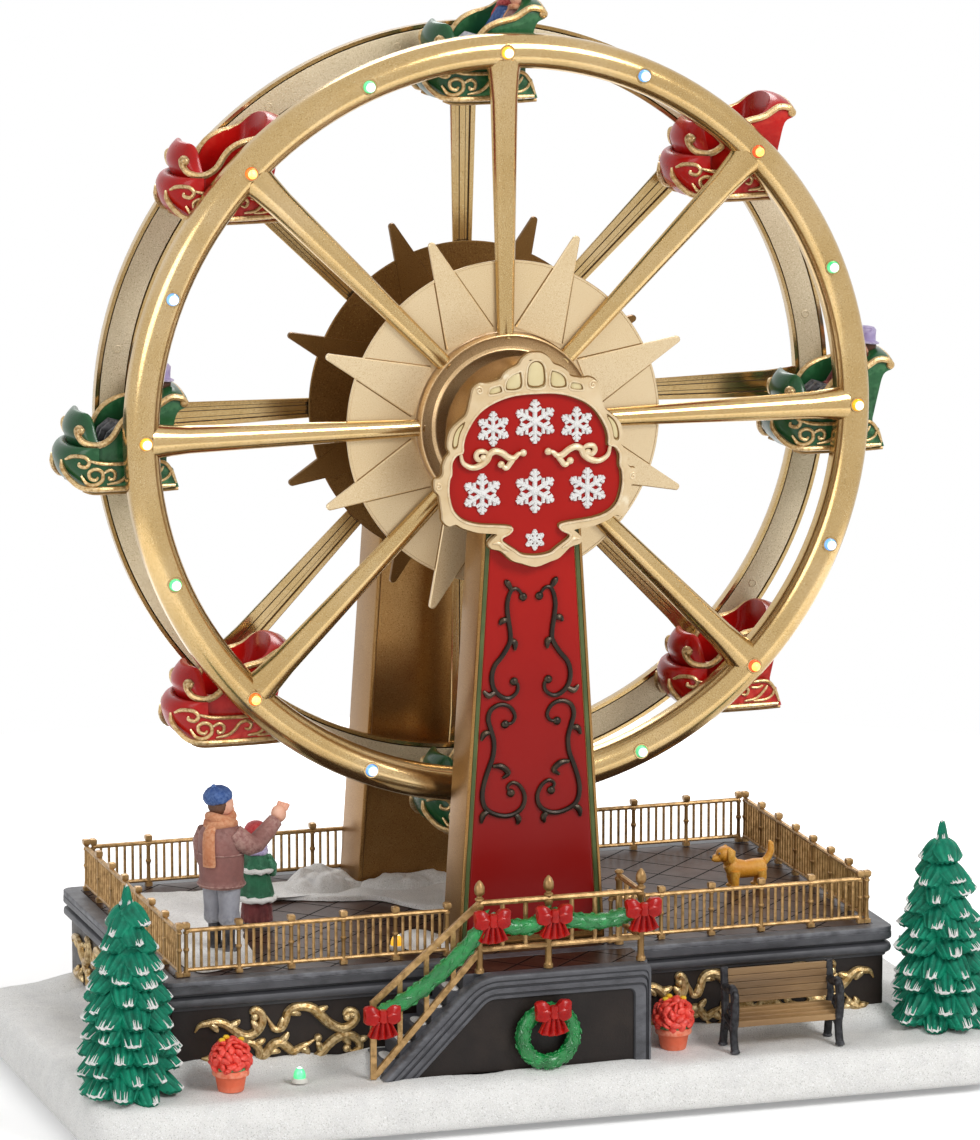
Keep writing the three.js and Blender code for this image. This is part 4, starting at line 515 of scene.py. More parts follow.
def rounded_box(half_x, half_y, corner, count=12, straight=22):
    """Outline of a rounded rectangle with evenly shared points, the same count at any size."""
    out = []
    for q, (sx, sy) in enumerate(((1, 1), (-1, 1), (-1, -1), (1, -1))):
        cx, cy = sx * (half_x - corner), sy * (half_y - corner)
        for i in range(count + 1):
            a = TAU * (q / 4 + 0.25 * i / count)
            out.append((cx + corner * math.cos(a), cy + corner * math.sin(a)))
        nx, ny = ((-1, 1), (-1, -1), (1, -1), (1, 1))[q]
        end = (nx * (half_x - corner) + (corner * nx if q % 2 else 0),
               ny * (half_y - corner) + (0 if q % 2 else corner * ny))
        a = out[-1]
        for i in range(1, straight):
            out.append((a[0] + (end[0] - a[0]) * i / straight, a[1] + (end[1] - a[1]) * i / straight))
    return out


def outside(x, y, lo_x, hi_x, lo_y, hi_y):
    return math.hypot(max(lo_x - x, 0, x - hi_x), max(lo_y - y, 0, y - hi_y))


def bumps(x, y, size, seed=0.0):
    return noise.noise(V(x / size, y / size, seed))


def snow_height(x, y):
    z = 22.4 + 0.7 * bumps(x, y, 26) + 0.45 * bumps(x, y, 8, 3)
    wall = outside(x, y, -PLINTH_X, PLINTH_X, PLINTH_LOW_Y, PLINTH_HIGH_Y)
    z += (6.5 + 4.5 * bumps(x, y, 17, 7)) * math.exp(-(wall / 6.5) ** 2)
    block = outside(x, y, LANDING["foot"], LANDING["right"], LANDING["front"], LANDING["back"])
    z += (2.4 + 1.6 * bumps(x, y, 9, 5)) * math.exp(-(block / 3.4) ** 2) * (1 if block > 0 else 0.6)
    for cx, cy, rise, reach in ((-171.6, -80, 4.2, 14), (171.6, -74, 4.2, 14), (-132, -87, 1.6, 10),
                                (54.5, -80, 1.6, 10), (160, -20, 6, 22), (-166, -30, 5, 22), (98, -84, 1.2, 20)):
        z += rise * math.exp(-((x - cx) ** 2 + (y - cy) ** 2) / reach ** 2)
    return z


def snow_base():
    s = Shape()
    rows = []
    for inset, z in ((7, 4), (1.4, 4), (0.3, 5.4), (0, 8), (0, 12), (0.2, 15.5), (1.2, 18.3)):
        rows.append([V(x, y, z + (0.8 * bumps(x, y, 14, 2) if z > 10 else 0))
                     for x, y in rounded_box(BASE_X - inset, BASE_Y - inset, BASE_CORNER - min(inset, 8))])
    for inset in (3.2, 6, 9, 12, 15, 18, 21, 24, 27, 30, 33, 36, 39, 42, 45, 49, 56):
        corner = max(2.0, BASE_CORNER - inset * 0.6)
        edge = min(1.0, inset / 8)
        rows.append([V(x, y, 19.2 + (snow_height(x, y) - 19.2) * math.sin(edge * math.pi / 2) ** 0.7)
                     for x, y in rounded_box(BASE_X - inset, BASE_Y - inset, corner)])
    s.grid(rows)
    piece("snow_base_moulding", s, SNOW, replaces=["snow_base"], slot="snow", angle=60)


snow_base()
for foot in ("front_left", "front_right", "back_left", "back_right"):
    recolour("foot_" + foot, RUBBER)
for node in ("bottom_cover", "battery_tray", "battery_door", "power_switch"):
    recolour(node, PLASTIC)


# Plinth with its cornice, scrolls and deck

CORNICE = [(0, 50.5), (0.9, 50.7), (1.2, 51.4), (1.3, 52.0), (2.4, 52.2), (3.1, 52.9), (3.4, 53.9), (3.4, 54.6),
           (3.0, 55.5), (2.0, 56.0), (1.2, 56.2), (0.9, 56.5), (0.9, 57.1), (1.2, 57.3), (2.6, 57.6), (3.3, 57.9),
           (3.5, 58.4), (3.5, 60.5), (3.2, 60.7), (3.2, 61.1), (3.4, 61.3), (3.4, 62.6), (3.1, 63.0)]


def plinth():
    s = Shape()
    half_y = (PLINTH_HIGH_Y - PLINTH_LOW_Y) / 2
    profile = [(-3.4, 23.4), (0, 23.4), (0, 36), (0, 48)] + CORNICE + [(-3.4, 63.0), (-3.4, 60.2), (-9.4, 60.2),
                                                                        (-9.4, 57.6), (-3.4, 57.6)]
    rows = []
    for out, z in profile:
        rows.append([V(x, y + PLINTH_Y, z) for x, y in
                     rounded_box(PLINTH_X + out, half_y + out, max(0.4, 1.2 + out), 3, 10)])
    s.grid(rows, loop=True)
    s.paint(lambda c: 1 if c.z > 50.7 and (abs(c.x) > PLINTH_X - 3 or abs(c.y - PLINTH_Y) > half_y - 3) else 0)
    slot = Shape()
    slot.block((99.7, 88, 34.4), (109.3, 100, 38.7))
    mesh = cut(s, slot, [DARK_PANEL, SLATE])
    piece("plinth_walls", mesh, [], replaces=["plinth"], slot="plinth_paint")


# One acanthus unit of the relief, from its outer end
UNIT_WIDTH = 68.1
UNIT = [
    [(0, 41.5), (2, 44.1), (5.9, 44.9), (9.9, 45), (13.8, 43.1), (16.9, 40.5), (20.8, 38.6), (24.8, 39.5),
     (27.5, 42.8), (27.6, 46.7), (25.2, 49), (23.4, 48), (24.6, 46)],
    [(29.5, 46.1), (30.9, 43.3), (32.8, 40.4), (35.8, 40.5), (37.4, 43.5), (38.2, 46.4), (40.6, 48.4),
     (44.6, 48.8), (48.5, 47.6), (51.7, 44.7), (55.6, 40.9), (60.4, 38.5), (64.3, 39.4), (66.7, 41.9),
     (65.9, 44.8), (63.2, 45.6), (61.8, 44.2), (63, 42.9)],
    [(15.3, 34.3), (19.2, 36), (23.9, 35.2), (26.3, 32.7), (27.1, 29.8), (29.4, 30.7), (31.8, 33.8), (35, 34.7),
     (38.1, 32.5), (40.5, 30.7), (43.7, 32), (46.8, 33.3), (50.8, 35.4)],
    [(40.5, 30.7), (42.1, 27.8), (44, 26.5), (47.6, 26.2), (51.6, 28.4), (54.8, 31.9), (58.7, 34.7), (63.5, 35.5),
     (67.3, 33.2), (68.1, 30), (65.2, 28.5), (62.7, 30.1)],
    [(2.7, 30.7), (8.9, 30), (13.7, 31.3), (15.3, 34.3)],
]
# Sprigs on each path: share of its length, lean in degrees, size
SPRIG_PLACES = [[(0.18, -35, 5), (0.34, 40, 5), (0.5, -45, 5.5), (0.62, 50, 5), (0.8, -40, 4)],
                [(0.16, 40, 5), (0.32, -45, 5), (0.5, 40, 5), (0.66, -50, 5.5), (0.8, 45, 4)],
                [(0.2, 45, 4.5), (0.45, -40, 5), (0.6, 50, 5), (0.85, -45, 4.5)],
                [(0.2, -45, 5), (0.4, 45, 5), (0.6, -40, 5), (0.75, 50, 4)], [(0.3, 40, 4.5), (0.65, -40, 4.5)]]


def relief(s, place, width):
    """One acanthus unit; place(u, z, out) gives the point on the wall."""
    stretch = width / UNIT_WIDTH
    up = place(0, 0, 1) - place(0, 0, 0)
    paths = [smooth([(u * stretch, z) for u, z in path], 5) for path in UNIT]
    for points in paths:
        shares = taper(len(points), 0.3, 6)
        radii = [(1.05 + math.sin(math.pi * i / (len(points) - 1))) * share for i, share in enumerate(shares)]
        s.tube([place(*p, 0.45) for p in points], radii, 8, up=up)
    for path in UNIT[:4]:
        u, z = path[-1]
        s.ball(place(u * stretch, z, 0.7), 1.7, 6, 10)
    for points, sprigs in zip(paths, SPRIG_PLACES):
        for share, lean, size in sprigs:
            i = int(share * (len(points) - 2))
            along = (points[i + 1] - points[i]).normalized()
            c, n = math.cos(math.radians(lean)), math.sin(math.radians(lean))
            out = Vector((along.x * c - along.y * n, along.x * n + along.y * c))
            bend = Vector((-out.y, out.x)) * (1 if lean > 0 else -1)
            leaf = [points[i] + out * size * k + bend * size * 0.35 * k * k for k in (0, 0.3, 0.6, 0.85, 1.0)]
            leaf = [p for p in leaf if 25.4 < p.y < 50.2]
            if len(leaf) > 2:
                s.tube([place(*p, 0.5) for p in leaf], [1.0, 1.6, 1.5, 1.1, 0.5][:len(leaf)], 8, up=up)


def plinth_reliefs():
    s = Shape()

    def on_y(wall, sign, x0, way, width):
        relief(s, lambda u, z, out: V(x0 + way * u, wall + sign * out, z), width)

    def on_x(sign, y0, way):
        relief(s, lambda u, z, out: V(sign * (PLINTH_X + out), y0 + way * u, z), 72)

    for x0, way, width in ((-140.5, 1, 68), (146, -1, 50), (44, 1, 50)):
        on_y(PLINTH_LOW_Y, -1, x0, way, width)
    for x0, way in ((-146, 1), (-2, -1), (2, 1), (88, -1)):
        on_y(PLINTH_HIGH_Y, 1, x0, way, 70)
    for sign in (-1, 1):
        on_x(sign, PLINTH_LOW_Y + 4, 1)
        on_x(sign, PLINTH_HIGH_Y - 4, -1)
    piece("plinth_scrolls", s, SCROLL_GOLD, slot="gold_paint")


plinth()
plinth_reliefs()
recolour("deck_board", DECK_PAINT)


def snow_patch(s, outline, centre, height, plateau=0.6, rings=12, seed=1.0, floor=DECK_TOP, rough=0.12):
    """A heap of snow inside a closed outline, falling away at its wavy edge."""
    edge = smooth(outline, 6, closed=True)
    cx, cy = centre
    rows = []
    for r in range(rings + 1):
        share = r / rings
        row = []
        for p in edge:
            wave = 1 + 0.045 * bumps(p.x, p.y, 5, seed) + 0.03 * bumps(p.x, p.y, 2.4, seed + 3)
            x, y = cx + (p.x - cx) * share * wave, cy + (p.y - cy) * share * wave
            fall = 1 if share < plateau else math.cos((share - plateau) / (1 - plateau) * math.pi / 2) ** 0.6
            lump = 1 + rough * bumps(x, y, 9, seed) + rough * 0.8 * bumps(x, y, 4, seed)
            row.append(V(x, y, floor + (height * fall * lump if share < 1 else 0)))
        rows.append(row)
    s.grid(rows[::-1])


def oval(x, y, rx, ry, count=12):
    return [(x + a, y + b) for a, b in circle(rx, ry, count)]


# Heaps on the deck: outline, middle, height, flat share, rings, seed, roughness
DECK_HEAPS = [
    ([(-138, -52), (-124, -53), (-112, -50), (-107, -30), (-104, -6), (-98, 16), (-88, 36), (-76, 48), (-68, 58),
      (-72, 70), (-100, 72), (-118, 76), (-137, 72), (-139, 30), (-139, -10)], (-116, 14), 1.7, 0.88, 16, 2, 0.12),
    ([(-86, 46), (-74, 49), (-67, 47), (-57, 42), (-45, 38.5), (-38, 38), (-32, 33), (-27, 23), (-20, 14), (-8, 10),
      (0, 16), (4, 30), (4, 46), (2, 58.4), (-38, 58.4), (-39, 74), (-60, 76), (-86, 72)],
     (-38, 48), 1.9, 0.82, 14, 5, 0.12),
    (oval(-52, 60, 17, 13), (-54, 62), 8.2, 0.2, 12, 6, 0.35),
    (oval(-41, 56, 8, 4), (-41, 57), 5, 0.1, 8, 7, 0.3),
    ([(-36, 58.6), (-36, 50), (-28, 44), (-18, 43), (-9, 46), (0, 50), (6, 58.6)], (-17, 54), 6, 0.3, 10, 8, 0.3),
    ([(2, 58.6), (4, 52), (16, 49), (30, 51), (42, 54), (44, 58.6)], (22, 56), 3.6, 0.3, 10, 9, 0.3),
    (oval(55, 64, 9, 14), (55, 66), 5, 0.1, 9, 10, 0.3),
    ([(-46, -46), (-36, -50), (-28, -50.4), (-27.6, -36), (-28, -22), (-34, -14), (-42, -20), (-47, -34)],
     (-36, -36), 1.0, 0.6, 8, 11, 0.12)]


def deck_snow():
    s = Shape()
    for outline, centre, height, plateau, rings, seed, rough in DECK_HEAPS:
        snow_patch(s, outline, centre, height, plateau, rings, seed, rough=rough)
    piece("deck_snow_drift", s, SNOW, replaces=["deck_snow"], slot="snow", angle=60)


deck_snow()


# Railings

def post(s, base):
    """A turned post with a flared square cap, standing at base."""
    m = Matrix.Translation(base)
    s.block((-1.35, -1.35, 0), (1.35, 1.35, 1.6), m)
    s.lathe([(0, 1.5), (1.1, 1.5), (1.0, 2.6), (0.85, 4), (0.8, 9), (0.95, 10), (1.25, 10.4), (1.25, 11), (0.9, 11.4),
             (0.85, 13), (0.85, 17), (1.2, 17.4), (1.2, 18), (0.75, 18.3), (0.75, 19), (0, 19)], m, 10)
    s.grid([[V(half * x, half * y, z) for x, y in ((-1, -1), (1, -1), (1, 1), (-1, 1))] for half, z in (
        (0.8, 19), (1.0, 19.2), (1.35, 19.8), (1.45, 21.1), (1.25, 21.7), (0.5, 22))], matrix=m)


def railing(name, start, end, spans):
    """Posts with six bars between each two, and two rails."""
    s = Shape()
    a, b = V(*start, DECK_TOP), V(*end, DECK_TOP)
    up = V(0, 0, 1)
    for height, r in ((18.4, 0.95), (2.4, 0.85)):
        s.tube([a + up * height, b + up * height], r, 8)
    for i in range(spans * 7 + 1):
        foot = a + (b - a) * i / (spans * 7)
        if i % 7:
            s.tube([foot + up * z for z in (2.4, 18.2)], 0.62, 6, up=(b - a).normalized())
        else:
            post(s, foot)
    piece("railing_" + name, s, RAIL_GOLD, replaces=["rail_" + name], slot="gold_paint")


railing("front_left", (-142.1, -58.6), (-34.1, -58.6), 5)
railing("front_right", (35, -58.6), (142.1, -58.6), 5)
railing("back", (-142.1, 89.4), (142.1, 89.4), 12)
railing("left", (-145, -58.6), (-145, 89.4), 7)
railing("right", (145, -58.6), (145, 89.4), 7)


# Landing block and its stair

def landing_outline(inset, side=None):
    """The front outline, inset by the same amount all round, or by side at the right."""
    low, top = 23.4, DECK - inset
    slope = (LANDING["left"] - LANDING["foot"]) / (DECK - 23.3)
    foot = LANDING["foot"] + inset * math.hypot(1, slope)
    left = foot + slope * (top - low)
    right = LANDING["right"] - (inset if side is None else side)

    def corner(p, a, b, r, count=8):
        p, a, b = V(*p), V(*a), V(*b)
        u, w = (a - p).normalized(), (b - p).normalized()
        return [((1 - i / count) ** 2 * (p + u * r) + 2 * i / count * (1 - i / count) * p
                 + (i / count) ** 2 * (p + w * r)) for i in range(count + 1)]

    tl, tr = (left, top), (right, top)
    points = [V(foot, low)] + corner(tl, (foot, low), tr, max(3.0, 9 - inset * 0.6))
    points += corner(tr, tl, (right, low), 4.0 if side is None else 3.2)
    points.append(V(right, low))
    return [(p.x, p.y) for p in points]


def landing_block():
    s = Shape()
    front = LANDING["front"]
    s.grid([[V(x, front + y, z) for x, z in landing_outline(inset, side)] for inset, side, y in (
        (0, 0, 6.5), (0, 0, 1.2), (0.3, 0.3, 0.5), (1.0, 1.0, 0.1), (2.2, 1.2, 0.1), (2.4, 1.3, 0.5), (2.7, 1.4, 0.5),
        (2.9, 1.5, 0.1), (4.2, 1.6, 0), (4.5, 1.7, 0.9), (5.2, 1.8, 0.9), (5.5, 1.9, 0.3), (7.4, 2.1, 0.3),
        (7.7, 2.2, 1.0), (8.2, 2.3, 1.0), (8.5, 2.4, 0.5), (9.6, 6.6, 0.5), (9.9, 7.1, 1.1), (10.0, 7.2, 1.8))],
        caps=False)
    s.use(1)
    inner = landing_outline(10.0, 7.2)
    s.add([V(x, front + 1.8, z) for x, z in inner], [list(range(len(inner)))])
    s.use(0)
    s.add([V(x, front + 6.5, z) for x, z in landing_outline(0)], [list(range(len(landing_outline(0))))])
    steps = 6
    run = (LANDING["left"] - LANDING["foot"]) / steps
    rise = (DECK - 23.4) / steps
    side = []
    for i in range(steps):
        x, z = LANDING["foot"] + 1.5 + run * i, 23.4 + rise * i
        side += [(x, z), (x, z + rise - 0.7), (x - 0.6, z + rise - 0.7), (x - 0.6, z + rise)]
    side += [(LANDING["right"], DECK), (LANDING["right"], 23.4)]
    first = len(s.faces)
    s.prism(side, front + 6.3, LANDING["back"], front_face)
    s.paint(lambda c: 2 if c.z > DECK - 0.2 else 0, first)
    piece("landing_walls", s, [SLATE, DARK_PANEL, DECK_PAINT], replaces=["landing_block"], slot="slate_paint")
    snow = Shape()
    for i in range(1, steps):
        x, z = LANDING["foot"] + 1.2 + run * (i - 0.5), 23.4 + rise * i
        snow_patch(snow, oval(x + 0.6, -80, 2.7, 7), (x + 0.6, -80), 0.9, 0.3, 5, i * 1.0, z)
    piece("step_snow", snow, SNOW, slot="snow", angle=60)


landing_block()

RAIL_Y, RAIL_BACK = -88.8, -61.5
POSTS = [-30, -1.26, 37.5]
RAIL_TOP, RAIL_LOW = 91.6, 72.8
STAIR_X, STAIR_TOP = -74, 54.3


def acorn_post(s, x, y, height=28.3, finial=True):
    m = Matrix.Translation(V(x, y, DECK_TOP))
    s.lathe([(0, 0), (1.9, 0), (1.9, 1.4), (1.5, 1.9), (1.35, 3), (1.35, height - 2.4), (1.8, height - 1.8),
             (1.8, height - 0.8), (1.2, height - 0.2), (1.1, height + 0.8), (1.8, height + 1.3),
             (1.8, height + 2.0), (1.1, height + 2.5)]
            + ([(1.0, height + 3.0), (1.9, height + 3.9), (2.15, height + 5.2), (2.0, height + 6.8),
                (1.35, height + 8.2), (0.6, height + 9.1), (0, height + 9.5)] if finial else [(0, height + 2.6)]),
            m, 16)


def landing_rail():
    s = Shape()
    for x in POSTS:
        acorn_post(s, x, RAIL_Y)
    for z, r in ((RAIL_TOP, 1.25), (RAIL_LOW, 1.2)):
        s.tube([V(POSTS[0], RAIL_Y, z), V(POSTS[2], RAIL_Y, z)], r, 8)
        s.tube([V(POSTS[2], RAIL_Y, z), V(POSTS[2], RAIL_BACK, z)], r, 8)
    places = [(POSTS[0] + (POSTS[1] - POSTS[0]) * i / 3, RAIL_Y) for i in (1, 2)]
    places += [(POSTS[1] + (POSTS[2] - POSTS[1]) * i / 4, RAIL_Y) for i in (1, 2, 3)]
    places += [(POSTS[2], RAIL_Y + (RAIL_BACK - RAIL_Y) * i / 3) for i in (1, 2)]
    for x, y in places:
        s.tube([V(x, y, RAIL_LOW), V(x, y, RAIL_TOP)], 0.95, 10)
    acorn_post(s, POSTS[2], RAIL_BACK, finial=False)

    def flat_bar(a, b, wide=2.4, thick=1.7):
        a, b = V(a[0], RAIL_Y, a[1]), V(b[0], RAIL_Y, b[1])
        side = (b - a).normalized().cross(V(0, 1, 0)) * (wide / 2)
        rows = [[p + side * u + V(0, thick / 2 * v, 0) for u, v in ((-1, -1), (1, -1), (1, 1), (-1, 1))]
                for p in (a, b)]
        s.grid(rows)

    flat_bar((STAIR_X, SNOW_TOP), (STAIR_X, STAIR_TOP + 1), 2.4, 1.4)
    flat_bar((STAIR_X - 0.6, STAIR_TOP - 0.4), (POSTS[0], RAIL_TOP))
    flat_bar((STAIR_X + 0.6, 24.6), (POSTS[0], RAIL_LOW - 0.6))
    for i in (1, 2, 3):
        t = i / 4
        x = STAIR_X + (POSTS[0] - STAIR_X) * t
        flat_bar((x, 24.6 + (RAIL_LOW - 25) * t), (x, STAIR_TOP + (RAIL_TOP - STAIR_TOP) * t), 1.9, 1.2)
    piece("landing_railing", s, RAIL_GOLD, replaces=["rail_landing"], slot="gold_paint")


landing_rail()


def bow(s, at, width=14.0, height=7.8, tail=8.6):
    """Two folded loops, a pleated knot and a fanned tail, all in front of at."""
    x0, y0, z0 = at
    for way in (-1, 1):
        rows = []
        for i in range(10):
            t = i / 9
            reach = 0.6 + (width * 0.5 - 0.6) * t
            tall = height * (0.20 + 0.30 * min(1, t * 2.2) ** 0.8) * (1 if t < 0.85 else 1 - (t - 0.85) * 1.6)
            deep = 1.4 + 1.3 * math.sin(math.pi * (0.1 + 0.8 * t))
            row = []
            for k in range(20):
                a = TAU * k / 20
                c, n = math.cos(a), math.sin(a)
                pleat = 1 + 0.10 * math.cos(3 * a * 2 + 0.6) * math.sin(math.pi * min(1, t * 1.15))
                x = reach + 0.5 * abs(n) * t
                row.append(V(x0 + way * x, y0 + deep * math.copysign(abs(c) ** 0.7, c) * pleat,
                             z0 + 0.6 * t + tall * math.copysign(abs(n) ** 0.7, n) * pleat))
            rows.append(row)
        s.grid(rows)
        s.tube([V(x0 + way * u, y0 - 2.5, z0 + z) for u, z in ((1.6, 0.2), (3.4, 0.9), (5.2, 0.7))],
               [0.3, 0.7, 0.3], 6)
    rows = []
    for i in range(7):
        t = i / 6
        row_front, row_back = [], []
        for k in range(25):
            u = k / 12 - 1
            half = 2.0 + (width * 0.44 - 2.0) * t ** 0.8
            wave = 0.75 * math.cos(u * math.pi * 4) * (0.35 + 0.65 * t)
            drop = -0.8 - tail * t * (1 - 0.16 * u * u) + (0.35 * math.cos(u * math.pi * 4) if i == 6 else 0)
            row_front.append(V(x0 + half * u, y0 - 1.6 + 0.4 * t - wave, z0 + drop))
            row_back.append(V(x0 + half * u, y0 + 0.2 + 0.4 * t - wave * 0.4, z0 + drop))
        rows.append(row_front + row_back[::-1])
    s.grid(rows)
    s.grid([[V(x0 + x * (1 + 0.08 * math.cos(5 * TAU * k / 14)), y0 - 1.4 + y, z0 + z)
             for k, (x, y) in enumerate(circle(half, 1.8, 14))]
            for z, half in ((-2.4, 1.3), (-1.6, 1.9), (0, 1.6), (1.6, 1.9), (2.6, 1.4))])


def lumpy(s, path, radius, count, rng, size=1.5):
    """A thick rope of foliage: a wavy tube with leaf tips laid along it."""
    path = [Vector(p) for p in path]
    n = len(path)
    s.tube(path, [radius * (0.93 + 0.07 * math.sin(i * 1.7)) for i in range(n)], 14)
    for i in range(count):
        t = (i + 0.5) / count * (n - 1)
        a, b = path[int(t)], path[min(n - 1, int(t) + 1)]
        p = a + (b - a) * (t - int(t))
        along = (b - a).normalized()
        side = along.cross(V(0, 1, 0)).normalized()
        turn = i * 2.4 + rng.uniform(-0.4, 0.4)
        out = math.cos(turn) * side + math.sin(turn) * V(0, 1, 0)
        round_way = out.cross(along) * rng.choice((-0.8, 0.8))
        start = p + out * radius * 0.88
        tip = start + (along + round_way * 0.6).normalized() * size * 2.8 - out * 0.1
        s.tube([start, (start + tip) / 2 + out * 0.12, tip], [0.2, 0.6 * size, 0.12], 8)


def garland():
    s = Shape()
    y = RAIL_Y - 5.1
    anchors = [(-72.5, 51), (-27, 86.3), (-1.26, 86.3), (36, 86.3)]
    for (ax, az), (bx, bz) in zip(anchors, anchors[1:]):
        path = [V(ax + (bx - ax) * t, y, az + (bz - az) * t - 17.6 * t * (1 - t))
                for t in [i / 22 for i in range(23)]]
        lumpy(s, path, 3.4, int((V(bx, 0, bz) - V(ax, 0, az)).length * 0.9), RNG, 1.3)
    piece("garland_swags", s, GARLAND, replaces=["garland"], slot="garland_green")
    bows = Shape()
    for x, z in anchors:
        bow(bows, (x, y - 2.2, z))
    piece("garland_bows", bows, BOW_RED, angle=50)


def wreath():
    s = Shape()
    centre = V(-3.85, -96.6, 37.4)
    path = [centre + V(10.6 * math.sin(TAU * i / 40), 0, 10.6 * math.cos(TAU * i / 40)) for i in range(41)]
    lumpy(s, path, 3.1, 190, RNG, 1.0)
    piece("wreath_ring", s, GARLAND, replaces=["wreath"], slot="garland_green")
    knot = Shape()
    bow(knot, (-3.0, -100.2, 48.2), 14, 8.5, 9.0)
    piece("wreath_bow", knot, BOW_RED, angle=50)


garland()
wreath()


# Trees, pots, bench and lamps

def tree_reach(share):
    return 22.0 * max(0.0, 1 - share ** 1.9) ** 0.85


def bough(s, a0, reach, half, top, drop, rng):
    """One drooping, ribbed bough like a rounded fan, with snow along its tip."""
    across, along, ribs = 25, 8, 11
    tips, phase, lean = rng.uniform(0.95, 1.04), rng.uniform(0, TAU), rng.uniform(-0.08, 0.08)

    def point(u, v, under=0.0):
        rib = math.cos(ribs * math.pi * u / 2 + phase)
        spread = half * math.sin(math.pi * (0.20 + 0.56 * v)) * (1 - 0.1 * v)
        r = reach * tips * (0.34 + 0.66 * v * (1 - 0.34 * u * u) + 0.02 * rib * v)
        a = a0 + lean * v + spread * u / max(reach * (0.42 + 0.58 * v), 1)
        z = top - drop * (0.40 * v + 0.60 * v ** 1.9) * (1 - 0.22 * u * u) - 2.8 * u * u
        z += 0.42 * rib * min(1, 2.5 * v) - under * (2.4 - 1.2 * v)
        r -= under * 0.8 * v
        return V(r * math.cos(a), r * math.sin(a), z)

    s.use(0)
    rows = []
    for j in range(along):
        v = (j / (along - 1)) ** 0.85
        rows.append([point(2 * i / (across - 1) - 1, v) for i in range(across)]
                    + [point(1 - 2 * i / (across - 1), v, 1.0) for i in range(across)])
    s.grid(rows)
    s.use(1)
    lift = V(0, 0, 0.25)
    low, high = sorted((rng.uniform(-0.75, -0.1), rng.uniform(0.1, 0.75)))
    edge = [low + (high - low) * k / 9 for k in range(10)]
    s.tube([point(u, 0.985) + lift * 0.3 for u in edge],
           [(0.20 + 0.42 * math.sin(math.pi * k / 9)) * rng.uniform(0.6, 1.3) for k in range(10)], 6)
    for _ in range(rng.choice((6, 9, 12))):
        u = rng.uniform(low, high)
        v = rng.uniform(0.78, 0.95)
        s.tube([point(u * 0.93, v) + lift * 0.4, point(u * 0.97, (v + 1) / 2) + lift * 0.6,
                point(u, 0.995) + lift * 0.4], [0.06, rng.uniform(0.16, 0.30), 0.36], 5)


def tree(name, x, y, node, seed):
    s = Shape()
    rng = random.Random(seed)
    height, tiers = 91.0, 10
    s.use(2)
    s.lathe([(0, -1), (4, -1), (3.4, 3), (3, 8), (0, 8)], sides=12)
    s.use(0)
    s.lathe([(0, 4)] + [(tree_reach(k / 12) * 0.62 + 0.3, 5 + 83 * k / 12) for k in range(13)] + [(0, 90)])
    for tier in range(tiers):
        share = tier / tiers
        tip = height * (0.02 + 0.86 * share)
        reach = tree_reach(tip / height) + 0.9
        count = max(4, round(TAU * reach / 15.5))
        phase = rng.uniform(0, TAU)
        drop = 13.5 - 4.5 * share
        for b in range(count):
            a0 = phase + TAU * (b + rng.uniform(-0.12, 0.12)) / count
            bough(s, a0, reach * rng.uniform(0.96, 1.03), math.pi * reach / count * 1.36,
                  tip + drop + rng.uniform(-2.4, 2.4), drop * rng.uniform(0.85, 1.1), rng)
    for k in range(4):
        bough(s, TAU * k / 4, 2.6, 2.6, 90.0, 8.0, rng)
    s.lathe([(0, 84), (1.5, 84), (0.9, 89), (0, 91)], sides=8)
    s.verts = [V(x + p.x * 0.95, y + p.y * 0.95, SNOW_TOP + p.z * 0.935) for p in s.verts]
    piece(name, s, [NEEDLES, SNOW, WOOD], replaces=[node], slot="tree_green", angle=50)


tree("fir_left", -171.6, -80, "tree_left", 3)
tree("fir_right", 171.6, -74, "tree_right", 8)


GOLDEN_ANGLE = 2.399963


def flower_pot(name, x, y, node, seed):
    s = Shape()
    rng = random.Random(seed)
    flowers = V(x, y, SNOW_TOP + 12.8)
    m = Matrix.Translation(V(x, y, SNOW_TOP))
    s.lathe([(0, 0), (4.9, 0), (5.2, 0.5), (6.2, 5.9), (6.4, 6.3), (7.2, 6.4), (7.4, 6.9), (7.3, 8.5), (6.9, 8.9),
             (6.3, 8.9), (6.1, 8.2), (0, 8.0)], m, 28)
    s.use(3)
    s.ball(V(x, y, SNOW_TOP + 9.2), (6.9, 6.9, 2.2), 7, 16)
    s.use(1)
    s.ball(flowers, (7.0, 7.0, 6.8), 8, 16)
    count = 64
    for i in range(count):
        up = 1 - 1.5 * i / count
        a = i * GOLDEN_ANGLE
        flat = math.sqrt(max(0, 1 - up * up))
        n = V(flat * math.cos(a), flat * math.sin(a), up)
        p = flowers + n * 7.2
        s.use(1)
        turn = n.to_track_quat("Z", "Y").to_matrix().to_4x4()
        petal = Matrix.Translation(p) @ turn @ Matrix.Rotation(rng.uniform(0, TAU), 4, "Z") \
            @ Matrix.Rotation(rng.uniform(0.3, 1.1), 4, "X")
        s.ball((0, 0, 0.4), (rng.uniform(1.9, 2.6), rng.uniform(0.8, 1.2), 1.7), 6, 9, matrix=petal)
        if i in (1, 4, 8):
            s.use(2)
            s.ball(p + n * 1.5, (1.4, 1.4, 1.0), 5, 8)
    piece(name, s, [POT, PETALS, YELLOW, LEAF], replaces=[node], slot="pot_paint")


flower_pot("flowers_left", -132, -87, "flowerpot_left", 5)
flower_pot("flowers_right", 54.5, -80, "flowerpot_right", 6)


